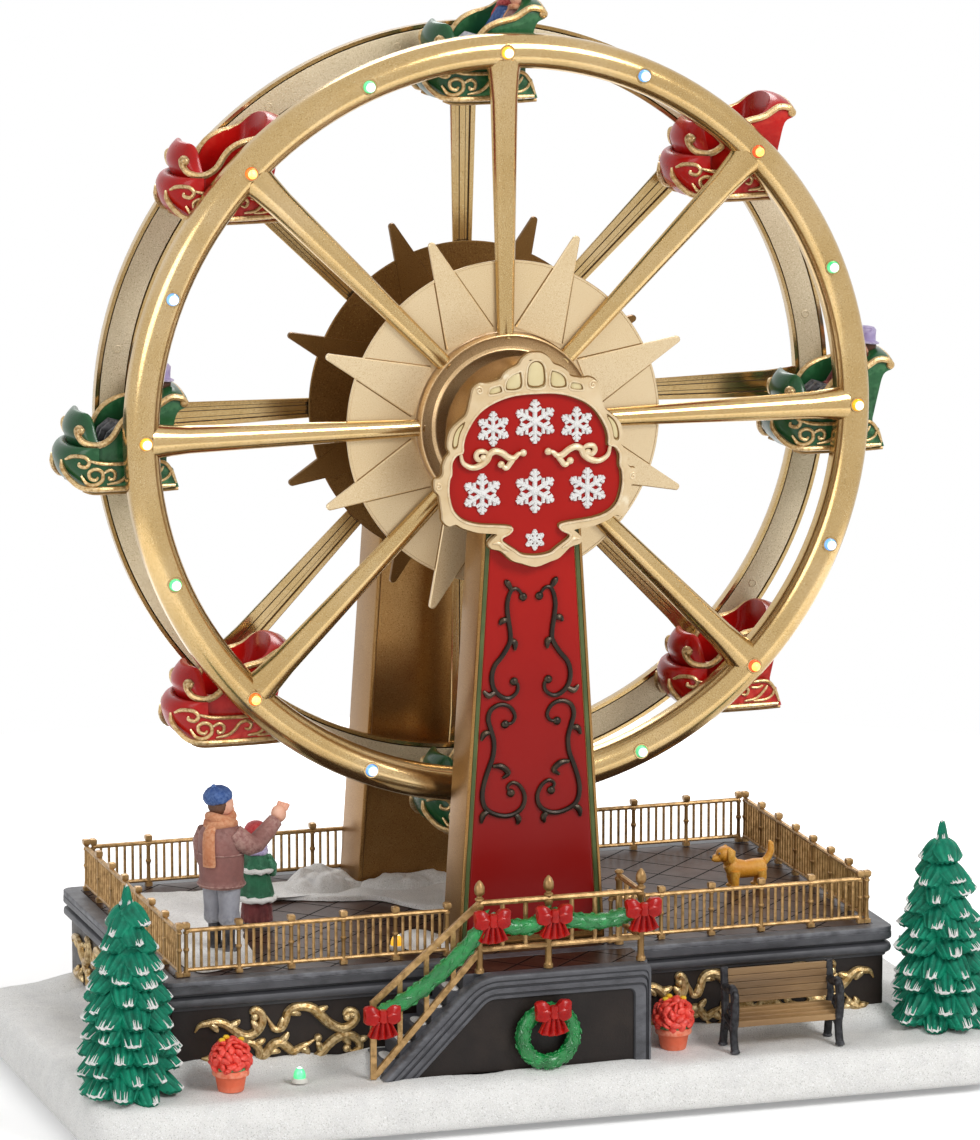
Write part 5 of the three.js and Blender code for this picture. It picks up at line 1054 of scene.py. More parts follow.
# The bench's cast ends: (y, z) paths from the front foot on the ground, and their radii
BENCH_END = [([(0.6, 0), (1.8, 3.5), (2.6, 8), (1.6, 12)], 1.5),
             ([(15.2, 0), (14, 6), (12.6, 12), (13, 20), (14, 27), (14.6, 32)], 1.5),
             ([(1.6, 10.4), (7, 11.4), (13, 13.6)], 1.3),
             ([(1.8, 11), (1, 17), (1.8, 23.4), (4.4, 25.6), (8.4, 24.2), (13.4, 24.6)], 1.6),
             ([(2.2, 24.4), (0.4, 24), (0.2, 21.8), (1.6, 21.2)], 1.2),
             ([(3, 6), (6.5, 8.6), (11, 8.8), (13.6, 6)], 0.9),
             ([(5.6, 13.6), (8.2, 16), (6.2, 18.8), (4.4, 17), (6, 15.8)], 0.7)]


def bench():
    s, wood = Shape(), Shape()
    x0, x1, front, back = 74.5, 121.5, -95.5, -80.5
    s.use(1)
    for x in (x0 + 1.1, x1 - 1.1):
        for path, r in BENCH_END:
            s.tube([V(x, front + p.x, SNOW_TOP + p.y) for p in smooth(path, 5)], r * 1.1, 10, up=(1, 0, 0))
        for y in (front + 0.6, back + 0.2):
            s.tube([V(x, y, SNOW_TOP + 1.4), V(x, y, SNOW_TOP)], [1.6, 2.1], 10, up=(1, 0, 0))
    # The seat boards take the lighter wood: painted light from above.
    for i in range(4):
        y, z = front + 1.7 + i * 2.9, SNOW_TOP + 10.0 + i
        wood.block((x0 + 1.2, y, z), (x1 - 1.2, y + 2.95, z + 2.5))
    wood.use(1)
    for i in range(5):
        rise = 17.4 + i * 2.8
        y, z = back - 3.2 + (rise - 15) * 0.13, SNOW_TOP + rise
        wood.block((x0 + 1.2, y, z), (x1 - 1.2, y + 1.5, z + 2.74))
    piece("bench_ends", s, [WOOD, IRON], replaces=["bench"], slot="bench_paint")
    piece("bench_boards", wood, [LIT_SEAT_WOOD, WOOD], slot="bench_paint", bevel=0.25)


bench()


def spot_lamp(name, x, y, floor, node, tint):
    s = Shape()
    m = Matrix.Translation(V(x, y, floor + 0.3))
    s.use(1)
    s.lathe([(0, 0), (3.2, 0), (3.3, 0.4), (3.1, 1.4), (2.6, 1.8), (0, 1.8)], m, 20)
    s.use(0)
    s.lathe([(0, 1.7), (2.5, 1.7), (2.45, 3.2), (2.1, 4.4), (1.5, 5.4), (0.7, 6.1), (0, 6.3)], m, 20)
    s.use(2)
    s.ball(V(x, y, floor + 5.0), (1.5, 1.5, 1.6), 8, 14)
    piece(name, s, [LAMPS[tint], NYLON, CORES[tint]], replaces=[node], slot="lamp_lens")


spot_lamp("spot_green", -103, -84, 23, "lamp_green", "green")
spot_lamp("spot_yellow", -50.4, -43, 63, "lamp_yellow", "yellow")


# Figures

def man():
    c = V(-118.8, -27, 63.9)
    rot = Matrix.Translation(c) @ Matrix.Rotation(math.radians(-48), 4, "Z")
    s = Shape(rot)
    s.use(0)                                               # boots
    for side, step in ((-1, 1.2), (1, -1.2)):
        s.tube([(side * 4.0, step, z) for z in (0.6, 3, 7, 11.5, 12.6)], [2.7, 2.6, 2.6, 2.9, 2.5], 12)
        s.ball((side * 4.0, step + 2.2, 1.7), (2.7, 4.8, 1.8), 7, 12)
    s.use(1)                                               # trousers
    for side, step in ((-1, 1.0), (1, -1.0)):
        s.tube([(side * x, y + step * k, z) for x, y, k, z in (
            (3.9, 0, 1, 11.4), (4.1, 0, 1, 12.6), (4.1, 0.3, 1, 14.4), (4.1, 0, 0.8, 17.5), (4.0, 0, 0.6, 22),
            (3.6, 0, 0.3, 27), (3.2, 0, 0, 31))], [3.0, 4.2, 4.5, 4.1, 4.4, 4.9, 5.2], 16)
    s.use(2)                                               # jacket
    s.grid([[V(x, y, z) for x, y in circle(rx, ry, 24)] for z, rx, ry in (
        (26.8, 8.2, 7.4), (27.2, 9.4, 8.8), (28.6, 9.6, 9.2), (31, 9.0, 8.4), (34, 9.2, 8.6), (40, 9.4, 8.8),
        (46, 9.4, 8.6), (49.5, 8.8, 8.0), (52, 6.8, 6.4), (54, 4.4, 4.4))], matrix=rot)
    s.tube([(6.4, -0.6, 49.4), (9.2, 1.0, 46.4), (11.2, 3.8, 44.2), (12.2, 7.0, 44.6), (13.8, 12.4, 48.6),
            (15.0, 16.8, 52.2)], [4.2, 4.5, 4.3, 4.1, 3.7, 3.2], 12)
    for z, r in ((41.0, 9.55), (28.2, 9.85)):
        s.tube([(x, y, z) for x, y in circle(r, r * 0.935, 30)], 0.3, 6, closed=True)
    s.tube([(-6.8, 0, 49.2), (-9.2, 0.3, 44), (-9.6, 1.2, 38), (-8.4, 3.2, 33.0)], [3.8, 4.0, 3.5, 2.9], 12)
    s.use(3)                                               # hands and face
    s.ball((15.4, 18.8, 54.6), (3.2, 3.2, 3.6), 8, 12)
    for k in range(4):
        s.tube([(14.4 + k * 0.9, 19.6 + k * 0.4, 56), (14.6 + k * 1.1, 21.0 + k * 0.4, 59.2 - 0.3 * k)],
               [1.1, 0.8], 8)
    s.ball((-7.8, 4.4, 30.6), (2.4, 2.6, 2.8), 8, 12)
    look = Matrix.Translation(c + V(0, 0, 8.2)) @ Matrix.Rotation(math.radians(-72), 4, "Z") @ Matrix.Scale(0.86, 4)
    s.tube([(0, 0, 52), (0, 0.3, 57)], 3.2, 12)
    s.here = look
    s.ball((0, 0.9, 60.6), (4.5, 4.7, 5.2), 12, 18)
    s.ball((0, 5.6, 60.2), (1.0, 1.1, 1.3), 6, 8)
    s.ball((0, 4.2, 57.6), (2.6, 1.8, 1.6), 6, 10)
    for side in (-1, 1):
        s.ball((side * 4.5, 0.4, 60.0), (0.7, 1.0, 1.4), 6, 8)
    s.use(4)                                               # hair
    s.ball((0, -0.9, 61.0), (4.8, 4.5, 5.0), 10, 18)
    s.use(5)                                               # beret
    tilt = look @ Matrix.Translation(V(0, -0.6, 62.2)) @ Matrix.Rotation(math.radians(16), 4, "X")
    s.grid([[V(x, y - max(0, z) * 0.12, z + 0.12 * math.sin(k * 2.1)) for k, (x, y) in enumerate(circle(r, r, 24))]
            for z, r in ((-0.6, 4.6), (0, 5.0), (0.6, 5.2), (1.2, 6.6), (3.0, 7.0), (5.0, 6.4), (6.8, 4.6),
                         (7.8, 2.4), (8.1, 0.8))], matrix=tilt)
    s.here = tilt
    s.ball((0, -1.0, 8.2), (1.1, 1.1, 0.9), 6, 9)
    s.here = rot
    s.use(6)                                               # scarf
    for z, r, thick in ((53.0, 5.0, 2.1), (55.6, 4.6, 1.9)):
        s.tube([(x, y - 0.2, z + 0.6 * math.sin(TAU * i / 12 + z)) for i, (x, y) in enumerate(circle(r, r, 24))],
               thick, 10, closed=True)
    tail = [(-0.4, -5.6, 53.5), (-0.4, -8.2, 50), (-0.2, -9.0, 46), (0, -9.1, 42), (0.2, -9.2, 38), (0.2, -9.2, 36.6)]
    s.tube(tail, [1.9, 2.7, 2.9, 2.9, 3.0, 2.8], 12, flat=0.5, up=rot.to_3x3() @ V(0, -1, 0))
    piece("walking_man", s, [BLACK, TROUSERS, COAT, SKIN, HAIR, BLUE_WOOL, TAN_WOOL], replaces=["man_figure"],
          slot="figure_paint", angle=50)


def girl():
    rot = Matrix.Translation(V(-93.6, 11, 65.3)) @ Matrix.Rotation(math.radians(-30), 4, "Z")
    s = Shape(rot)

    def skirt(sections, ribs=14, depth=0.05, sides=42):
        fold = lambda k, z: 1 + depth * math.cos(ribs * TAU * k / sides + 0.3 * z)
        s.grid([[V(x * fold(k, z), y * fold(k, z), z) for k, (x, y) in enumerate(circle(rx, ry, sides))]
                for z, rx, ry in sections], matrix=rot)

    s.use(0)
    skirt([(0, 6.0, 5.4), (0.8, 6.5, 5.9), (5, 6.2, 5.6), (10, 5.6, 5.0), (16, 4.4, 4.0)], 14, 0.06)
    s.use(1)
    skirt([(9.4, 6.8, 6.2), (10.2, 7.3, 6.6), (14, 6.6, 5.9), (19, 5.4, 4.8), (24, 4.6, 4.0)], 9, 0.035)
    skirt([(21.2, 5.6, 5.0), (22, 6.2, 5.5), (25, 5.9, 4.8), (27.8, 4.9, 3.8), (29.4, 3.4, 2.8)], 7, 0.03)
    for side in (-1, 1):
        s.tube([(side * 4.4, 0, 27.4), (side * 6.2, 1.0, 23.4), (side * 5.6, 3.6, 19.8), (side * 2.4, 5.6, 19.4)],
               [1.9, 2.2, 2.0, 1.7], 10)
    s.use(2)
    for z, rx, ry, r in ((9.8, 7.2, 6.5, 1.25), (21.6, 6.1, 5.4, 1.1), (29.3, 3.2, 2.8, 0.9)):
        s.tube([(x, y, z + 0.25 * math.sin(i * 1.7)) for i, (x, y) in enumerate(circle(rx, ry, 30))],
               [r * (1 + 0.14 * math.sin(i * 2.3)) for i in range(30)], 9, closed=True)
    s.ball((0, 6.0, 19.4), (2.9, 2.0, 2.0), 8, 12)
    s.use(3)
    s.ball((0, 0.4, 34.2), (3.6, 3.7, 4.1), 10, 16)
    s.ball((0, 4.0, 33.8), (0.55, 0.7, 0.8), 5, 7)
    s.use(4)
    s.ball((0, -0.5, 34.2), (3.8, 3.7, 3.9), 10, 16)
    s.use(5)
    s.grid([[V(x, y - 0.3, z) for x, y in circle(r, r, 20)] for z, r in (
        (34.6, 4.3), (35.4, 5.4), (36.6, 5.6), (37.8, 5.1), (39.4, 4.6), (40.8, 3.6), (41.7, 2.0), (42.0, 0.6))],
        matrix=rot)
    s.use(6)
    for z, r in ((29.2, 3.6), (30.9, 3.3)):
        s.tube([(x, y, z + 0.2 * math.sin(i * 1.3)) for i, (x, y) in enumerate(circle(r, r * 0.94, 20))], 1.35, 9,
               closed=True)
    s.tube([(1.2, 3.6, 29.4), (2.0, 5.4, 26), (2.3, 5.9, 22.6), (2.4, 5.9, 21.4)],
           [1.2, 1.8, 1.9, 1.7], 9, flat=0.5, up=(0, 1, 0))
    piece("walking_girl", s, [DARK_RED, GREEN_CLOTH, FUR, SKIN, HAIR, RED_WOOL, LILAC], replaces=["girl_figure"],
          slot="figure_paint", angle=50)


def dog():
    s = Shape(Matrix.Translation(V(117.4, 11.7, 63.4)) @ Matrix.Scale(1.08, 4))
    s.tube([(8.4, 0, 8.0), (7.4, 0, 7.8), (4, 0, 7.6), (0, 0, 7.2), (-3, 0, 7.6), (-5.4, 0, 8.6), (-6.8, 0, 10.2)],
           [2.0, 3.6, 3.9, 3.7, 4.1, 3.8, 2.8], 16)
    s.tube([(-4.8, 0, 9), (-6.6, 0, 11.4), (-7.6, 0, 12.8)], [3.2, 2.8, 2.6], 12)
    s.ball((-8.4, 0, 13.8), (3.9, 3.5, 3.4), 10, 16)
    s.tube([(-9.6, 0, 13.0), (-11.6, 0, 12.4), (-12.9, 0, 12.2)], [2.4, 1.9, 1.5], 12)
    s.ball((-13.0, 0, 12.2), (0.9, 1.4, 1.2), 6, 10)
    for side in (-1, 1):
        s.tube([(-7.6, side * 2.4, 16.4), (-6.8, side * 3.9, 15.2), (-6.9, side * 4.1, 12.2), (-7.1, side * 3.9, 11)],
               [0.8, 1.6, 1.5, 0.7], 9, flat=0.45, up=(0, 1, 0))
        for x, lean in ((-4.6, -0.3), (5.8, 0.6)):
            s.tube([(x, side * 2.2, 7.0), (x + lean, side * 2.4, 4.0), (x - lean * 0.4, side * 2.4, 1.4),
                    (x - lean * 0.4, side * 2.4, 0.2)], [2.4, 1.8, 1.35, 1.4], 10)
            s.ball((x - lean * 0.4 - 0.8, side * 2.4, 0.9), (1.9, 1.35, 0.95), 6, 10)
    s.tube([(7.6, 0, 9.4), (9.4, 0, 11.4), (10.6, 0, 14.0), (10.4, 0, 16.8), (9.8, 0, 17.8)],
           [1.6, 1.6, 1.5, 1.2, 0.5], 10)
    s.use(1)
    s.ball((-13.8, 0, 12.9), (0.7, 0.85, 0.65), 6, 9)
    for side in (-1, 1):
        s.ball((-11.2, side * 2.1, 14.6), 0.5, 5, 8)
    piece("standing_dog", s, [DOG, BLACK], replaces=["dog_figure"], slot="figure_paint", angle=50)


man()
girl()
dog()


# Towers

def mirrored(points):
    """The points, and back down the other side."""
    return points + [(-x, z) for x, z in points[::-1] if abs(x) > 0.01]


def column_width(foot_half, neck_half, inset):
    """Half the width of a tower's column at a height."""
    return lambda z: neck_half + (AXLE.z - z) * (foot_half - neck_half) / (AXLE.z - DECK_TOP) - inset


def tower_outline(foot_half, neck_half, head, inset=0.0, arc=28, sides=10):
    """Column with a round head, points relative to the axle in x and absolute in z."""
    radius, foot = head - inset, DECK_TOP + inset
    width = column_width(foot_half, neck_half, inset)
    drop = radius * 0.7
    for _ in range(12):
        drop = math.sqrt(max(0.01, radius ** 2 - width(AXLE.z - drop) ** 2))
    heights = [foot + (AXLE.z - drop - foot) * i / sides for i in range(sides + 1)]
    start = math.atan2(-drop, width(AXLE.z - drop))
    turns = [start + (math.pi - 2 * start) * i / arc for i in range(1, arc // 2 + 1)]
    return mirrored([(width(z), z) for z in heights]
                    + [(radius * math.cos(a), AXLE.z + radius * math.sin(a)) for a in turns])


def tower(name, sizes, y_near, y_far, node, lips):
    """A hollow shell, open towards the wheel, its far face stepped by lips (inset, depth)."""
    s = Shape()
    way = 1 if y_far > y_near else -1
    steps = [(2.0, y_far - way * 4), (2.0, y_near), (0, y_near), (0, y_far - way)]
    steps += [(inset, y_far - way * depth) for inset, depth in lips]
    s.grid([[V(AXLE.x + x, y, z) for x, z in tower_outline(*sizes, inset)] for inset, y in steps])
    # The walls take the darker gold with painted shade.
    piece(name, s, SHADED_TOWER_GOLD, replaces=[node], slot="gold_paint")


# Half widths at the foot and the neck, and the head's radius
FRONT_SIZES = (31.2, 18.3, 29.7)
REAR_SIZES = (41, 27, 33)


def olive_trim():
    """A strip along both edges of the front tower's column."""
    s = Shape()
    for way in (-1, 1):
        s.prism([(AXLE.x + way * column_width(*FRONT_SIZES[:2], inset)(z), z)
                 for z, inset in ((66, 1.5), (248, 1.5), (248, 3.2), (66, 3.2))], -49.5, -48.5, front_face)
    piece("front_tower_olive_trim", s, OLIVE, bevel=0.25)


def red_panel():
    s = Shape()
    rows = []
    for inset, y in ((3.5, -48.4), (3.5, -49.0), (3.9, -49.35), (4.4, -49.4), (6, -49.4)):
        low, high = 63.1 + inset, 254.3 - inset
        width = column_width(*FRONT_SIZES[:2], inset)
        heights = [low + (high - low) * i / 24 for i in range(25)]
        rows.append([V(AXLE.x + x, y, z) for x, z in mirrored([(width(z), z) for z in heights])])
    s.grid(rows)
    piece("tower_red_panel", s, RED_PANEL, replaces=["front_tower_panel"], slot="red_panel")


# The panel's scrolls on one side
UPPER = [(-3.4, 206), (-5.4, 209), (-7.7, 209.4), (-9.3, 206.9), (-10.1, 202.3), (-9.5, 196.5), (-8.8, 191.8),
         (-9, 187.7), (-12, 182.6), (-15.2, 178.7), (-16.5, 174.1), (-15.7, 169.3), (-12.8, 166), (-9.3, 165),
         (-6.1, 167.1), (-5.6, 170.2), (-7.2, 171.7)]
LOWER = [(-10.9, 154.4), (-7.9, 155), (-6.8, 157.8), (-9, 161.4), (-13, 162.6), (-16.7, 160.8), (-18, 157),
         (-16.8, 152.2), (-15.6, 147.4), (-16, 141.7), (-18, 136.1), (-19.7, 130.9), (-20.5, 125.8),
         (-19.5, 121), (-16, 118.1), (-10.9, 116.7), (-6.4, 117.6), (-3.4, 120.3), (-2.7, 124.5), (-4.7, 128.6),
         (-7.7, 130.3), (-9.8, 128.6), (-8.5, 126)]
SPRIGS = [[(-8.3, 209.2), (-9.9, 211.8), (-10.9, 213.2)], [(-9.6, 197.1), (-12, 196.8), (-13.3, 195.2)],
          [(-8.9, 188.5), (-6.9, 187.5), (-6.8, 184.4)], [(-15, 168), (-17.9, 166.6), (-20, 168.6)],
          [(-17.1, 151.5), (-19.6, 151), (-20.9, 148.3)], [(-16, 137.5), (-12.5, 137.2), (-9.6, 134.4), (-12, 132.3)],
          [(-17.8, 119.3), (-20.2, 117.6), (-20.9, 114.4)], [(-6.8, 117.4), (-5.3, 115.2), (-5.7, 112.9)]]


def tower_scrolls():
    s = Shape()
    for way in (-1, 1):
        at = lambda x, z: V(AXLE.x - 0.6 - way * x, -50, z)
        for points in (UPPER, LOWER):
            s.rope(points, 1.05, at, 0.6, 1.6)
            for end in (points[0], points[-1]):
                s.ball(at(*end), (1.75, 1.3, 1.75), 7, 10)
        for points in SPRIGS:
            path = [at(*p) for p in smooth(points, 5)]
            s.tube(path, [0.4 + 0.95 * math.sin(math.pi * (0.12 + 0.83 * i / (len(path) - 1)))
                          for i in range(len(path))], 8, up=(0, 1, 0))
    piece("tower_panel_scrolls", s, BRONZE, slot="gold_paint")


def rear_trim():
    s = Shape()
    for inset, r in ((4.2, 0.7), (6.6, 0.45)):
        s.hoop([V(AXLE.x + x, 87.3, z) for x, z in tower_outline(*REAR_SIZES, inset)], r)
    s.use(1)
    for x, z in ((-33, 72), (33, 72), (-25, 200), (25, 200), (0, 296)):
        m = Matrix.Translation(V(AXLE.x + x, 87.2, z)) @ Matrix.Rotation(-math.pi / 2, 4, "X")
        s.lathe([(0, 0), (2.0, 0), (2.0, 0.5), (1.4, 1.0), (0.5, 1.1), (0.5, 0.6), (0, 0.6)], m, 16)
    piece("rear_tower_moulding", s, [PALE_GOLD, ZINC], slot="gold_paint")


tower("front_tower_walls", FRONT_SIZES, -28.6, -49.6, "front_tower_shell",
      [(0.25, 0.3), (0.8, 0), (1.3, 0), (1.6, 0.5), (3.4, 0.6), (3.6, 1.4)])
olive_trim()
red_panel()
tower_scrolls()
tower("rear_tower_walls", REAR_SIZES, 85.4, 59.4, "rear_tower_shell",
      [(0.25, 0.3), (0.8, 0), (1.6, 0), (1.9, 0.3), (2.1, 0.9), (2.6, 1.1)])
rear_trim()
# The towers' back and cover take the same darker gold with painted shade.
for node in ("front_tower_back", "rear_tower_cover"):
    recolour(node, SHADED_TOWER_GOLD)
for node in ("front_bearing", "rear_bearing", "brush_block"):
    recolour(node, NYLON)
recolour("gear_motor", ZINC)


# Sign board

# Outlines of the left half; the ropes are (points, radius, share of it at the ends, depth)
SIGN_LEFT = [(0, 305), (-3, 304.6), (-5.5, 302.8), (-7.3, 300.4), (-10.9, 298.8), (-13.2, 297), (-14.4, 295.1),
             (-17.3, 294.2), (-20.2, 293.8), (-22.5, 294), (-24.8, 293), (-26.2, 291.2), (-26.6, 289), (-27.2, 286.5),
             (-28, 283.2), (-29.2, 280.9), (-31.8, 278.8), (-34.7, 276.2), (-36.2, 272.6), (-36.4, 269),
             (-35.6, 266.7), (-37, 264.8), (-38.2, 261.8), (-38.4, 258.4), (-40, 256.6), (-41.6, 256.4),
             (-42, 254.6), (-41.6, 251.8), (-40, 249.9), (-39.5, 247.2), (-38.8, 242.4), (-38.4, 239.4),
             (-36, 237.3), (-33.4, 238), (-30.2, 236.2), (-23.8, 234), (-16.4, 233.1), (-17.3, 231.7),
             (-19.4, 229.4), (-18.5, 227.3), (-14.3, 226), (-10, 222.1), (-5.8, 220.6), (0, 218.9)]
FIELD_LEFT = [(0, 289.2), (-8, 288.9), (-14.4, 287.5), (-20.2, 285), (-24.3, 281.9), (-27.2, 278.1), (-29.5, 273.7),
              (-30.5, 269.8), (-30.6, 266.8), (-33.2, 265.9), (-35.2, 262.8), (-35.3, 258.3), (-36.2, 256),
              (-36.5, 251), (-35.6, 245.9), (-33.9, 242.2), (-30.2, 239), (-23.8, 237), (-13.2, 235.9), (-10, 234.9),
              (-11.1, 233.1), (-14, 231.7), (-14.4, 230.2), (-13.2, 228.8), (-9, 225.9), (-5.8, 223.8), (0, 223)]
CRESCENT = [(-29.6, 279.2), (-32.4, 277), (-34.1, 274.2), (-34.9, 270.4), (-34.4, 268.2), (-32.6, 269), (-32, 272.2),
            (-31.2, 274.9), (-29.9, 277.4)]
WINDOWS = [[(-3.6, 291.4), (-3.9, 298.4), (-2.5, 301.4), (0, 302.4), (2.5, 301.4), (3.9, 298.4), (3.6, 291.4)],
           [(-12.4, 290.6), (-12.7, 294), (-10.9, 296.4), (-8, 297.8), (-6, 297.6), (-6, 291.2)],
           [(-19.4, 289.2), (-19.4, 291.5), (-17.4, 292.6), (-14.6, 292.8), (-14.2, 290)]]
SIGN_ROPES = [
    ([(-31.2, 266), (-30.1, 262.4), (-26.6, 260.4), (-23.1, 261), (-20.2, 263.1), (-19, 265.5), (-16.7, 266.5),
      (-13.8, 265.5), (-11.4, 263.7), (-9.1, 263.3), (-7.2, 264.8), (-5, 265.2)], 1.35, 0.5, -54.3),
    ([(-19.3, 265.3), (-21.4, 266.6), (-24, 266.5), (-24.8, 264.7), (-23.4, 263.2), (-21.8, 264.2)], 1.1, 0.5, -54.3),
    ([(-8.2, 264.1), (-10.3, 261.7), (-12.3, 259.5), (-14.5, 261.2)], 1.15, 0.5, -54.3),
    (spiral(-23.6, 291.2, 0.2, 1.7, 0, 1.4), 0.42, 1, -55.0),
    ([(-18, 229.4), (-15.4, 229.4), (-13.6, 227.6), (-11, 226)], 0.8, 0.5, -55.0),
    (spiral(-40.6, 253.4, 0.2, 1.4, 0, 1.3), 0.4, 1, -54.9)]
SNOWFLAKES = [(0, 277.4, 8.8, 0.95), (-17.4, 275.4, 7.0, 0.82), (17.4, 275.4, 7.0, 0.82), (-22, 249.4, 8.2, 0.95),
              (22, 249.4, 8.2, 0.95), (0, 249.4, 8.8, 0.98), (0, 229.6, 4.2, 0.65)]


def rounded(points, steps=3):
    return [tuple(p) for p in smooth(points, steps, closed=True)]


def scaled(loop, kx, kz, centre=None):
    """The loop grown or shrunk about a point, or else about its own middle."""
    cx, cz = centre or [sum(values) / len(loop) for values in zip(*loop)]
    return [(cx + (x - cx) * kx, cz + (z - cz) * kz) for x, z in loop]


def sign_point(x, z, y):
    return V(AXLE.x - 0.2 + x, y, z)


def sign():
    place = sign_point
    outer, field = rounded(mirrored(SIGN_LEFT)), rounded(mirrored(FIELD_LEFT))
    both = lambda loop: [rounded(loop), rounded([(-x, z) for x, z in loop][::-1])]
    windows = both(CRESCENT) + [rounded(WINDOWS[0])] + both(WINDOWS[1]) + both(WINDOWS[2])
    frame_plate, panes, backing, red, lines = [Shape() for _ in range(5)]
    frame_plate.holed([outer, field] + windows, -51.9, -54.9, place)
    for loop in windows:
        panes.grid([[place(x, z, y) for x, z in scaled(loop, kx, kz)]
                    for kx, kz, y in ((1.06, 1.06, -52.0), (1.06, 1.06, -53.9), (0.72, 0.78, -54.5))])
    backing.prism(scaled(outer, 0.985, 0.985, (0, 261.5)), -50, -52.2, place)
    red.prism(scaled(field, 1.01, 1.01, (0, 258)), -52.0, -52.9, place)
    for way in (-1, 1):
        for points, radius, start, y in SIGN_ROPES:
            lines.rope(points, radius, lambda x, z: place(-way * x, z, y), start, 2)
        for x, z in ((21.8, 264.0), (14.4, 261.0), (5.2, 265.2)):
            lines.ball(place(way * x, z, -54.4), (1.5, 1.3, 1.5), 6, 10)
    # Rims in the frame's gold, and dark lines of painted shade along the field, the frame's outer edge and inside the
    # windows.
    hoops = [(0, rounded([(way * x, z) for x, z in window], 4), -55.0, 0.42)
             for way, window in zip((1, -1, 1, -1, 1), WINDOWS[:1] + WINDOWS[1:2] * 2 + WINDOWS[2:] * 2)]
    hoops += [(0, field, -55.0, 0.5), (1, scaled(field, 0.985, 0.985, (0, 258)), -53.1, 0.5),
              (1, scaled(outer, 1.004, 1.004, (0, 261.5)), -52.0, 0.45)]
    hoops += [(1, scaled(loop, 0.84, 0.86), -54.45, 0.3) for loop in windows]
    for mat, loop, y, r in hoops:
        lines.use(mat)
        lines.hoop([place(x, z, y) for x, z in loop], r)
    piece("sign_panes", panes, PALE_PANE, slot="cream_gold")
    piece("sign_frame", frame_plate, SIGN_GOLD, replaces=["sign_board"], slot="cream_gold", bevel=0.45)
    piece("sign_backing", backing, SIGN_GOLD, slot="cream_gold")
    piece("sign_field", red, RED_PANEL, slot="red_panel")
    piece("sign_scrollwork", lines, [SIGN_GOLD, CREASE_SHADE], slot="cream_gold")


def snowflakes():
    s = Shape()
    for cx, cz, size, r in SNOWFLAKES:
        def stroke(p, q, thick):
            s.tube([sign_point(cx + end.x, cz + end.y, -53.3) for end in (p, q)], thick, 6, up=(0, 1, 0))

        for i in range(6):
            a = math.pi * i / 3 + math.pi / 6
            arm = V(math.cos(a), math.sin(a)) * size
            stroke(V(0, 0), arm, r)
            for reach, length in ((0.45, 0.34), (0.72, 0.24)):
                for b in (a - math.radians(58), a + math.radians(58)):
                    stroke(arm * reach, arm * reach + V(math.cos(b), math.sin(b)) * size * length, r * 0.8)
        s.ball(sign_point(cx, cz, -53.4), (r * 2, r * 1.4, r * 2), 6, 10)
    piece("sign_snowflakes", s, SNOW, slot="snow")


sign()
snowflakes()


# The wheel's two sides

LAMP_ORDER = ["yellow", "blue", "red", "green"] * 2 + ["yellow", "blue", "orange", "green"] * 2


def side_point(front):
    way = -1 if front else 1
    return lambda x, z, w: V(AXLE.x + x, AXLE.y + way * w, AXLE.z + z)


def ring(name, node, front):
    place = side_point(front)
    s = Shape()
    rim = [(143, 22.4), (143, 25.4)]
    for i in range(1, 12):
        t = math.pi * (1 - i / 12)
        rim.append((PIN_CIRCLE + 7 * math.cos(t), 25.8 + 6.6 * math.sin(t)))
    rim += [(157, 25.4), (157, 22.4), (155.6, 22.4), (155.3, 23.8), (153, 29.8), (147, 29.8), (144.7, 23.8),
            (144.4, 22.4)]
    s.turned(rim, place, 160)
    s.use(1)
    s.turned([(4.3, 22.4), (36.8, 22.4), (36.8, 32.3), (36.6, 32.8), (36.2, 33.0), (35.8, 32.8), (35.5, 32.3),
              (34.6, 32.0), (31.8, 32.0), (31.3, 32.4), (30.9, 32.9), (30.5, 33.0), (30.1, 32.7), (30.0, 32.0),
              (29.9, 28.4), (28.9, 26.2), (26.5, 25.1), (11.4, 24.6), (10.2, 25.2), (10, 30.6), (9.4, 31.4),
              (4.3, 31.4)], place, 72)
    for spoke in range(SPOKES):
        c, n = math.cos(TAU * spoke / SPOKES), math.sin(TAU * spoke / SPOKES)
        at = lambda u, r, w: place(u * c + r * n, r * c - u * n, w)
        rows, grooves = [], []
        for t in (0, 0.12, 0.3, 0.5, 0.7, 0.86, 0.95, 1.0):
            r = 34.8 + (147.0 - 34.8) * t
            half = 3.4 + 2.6 * t + (1.6 * ((t - 0.86) / 0.14) ** 2 if t > 0.86 else 0)
            high = 3.3 + 2.7 * t
            base = 32.4 - high
            groove = half * 0.62
            section = [(groove * share, base + depth) for share, depth in (
                (-1, 0), (-0.96, 1.3), (-0.42, 1.3), (-0.36, 0.9), (0.36, 0.9), (0.42, 1.3), (0.96, 1.3), (1, 0))]
            section.append((half * 0.94, base))
            section += [(u, base + 0.35 + w) for u, w in circle(half, high - 0.35, 22)[:12]]
            section.append((-half * 0.94, base))
            if 0.05 < t < 0.9:
                grooves.append((groove, r, base + 1.2))
            rows.append([at(u, r, w) for u, w in section])
        s.use(0)
        s.grid(rows)
        # Dark tubes along the groove walls: painted shade.
        s.use(2)
        for side in (-0.93, -0.39, 0.39, 0.93):
            s.tube([at(side * u, r, w) for u, r, w in grooves], 0.22, 5)
    piece(name, s, [GOLD, HUB_GOLD, SPOKE_GROOVE_SHADE], "wheel", [node], "gold_paint")


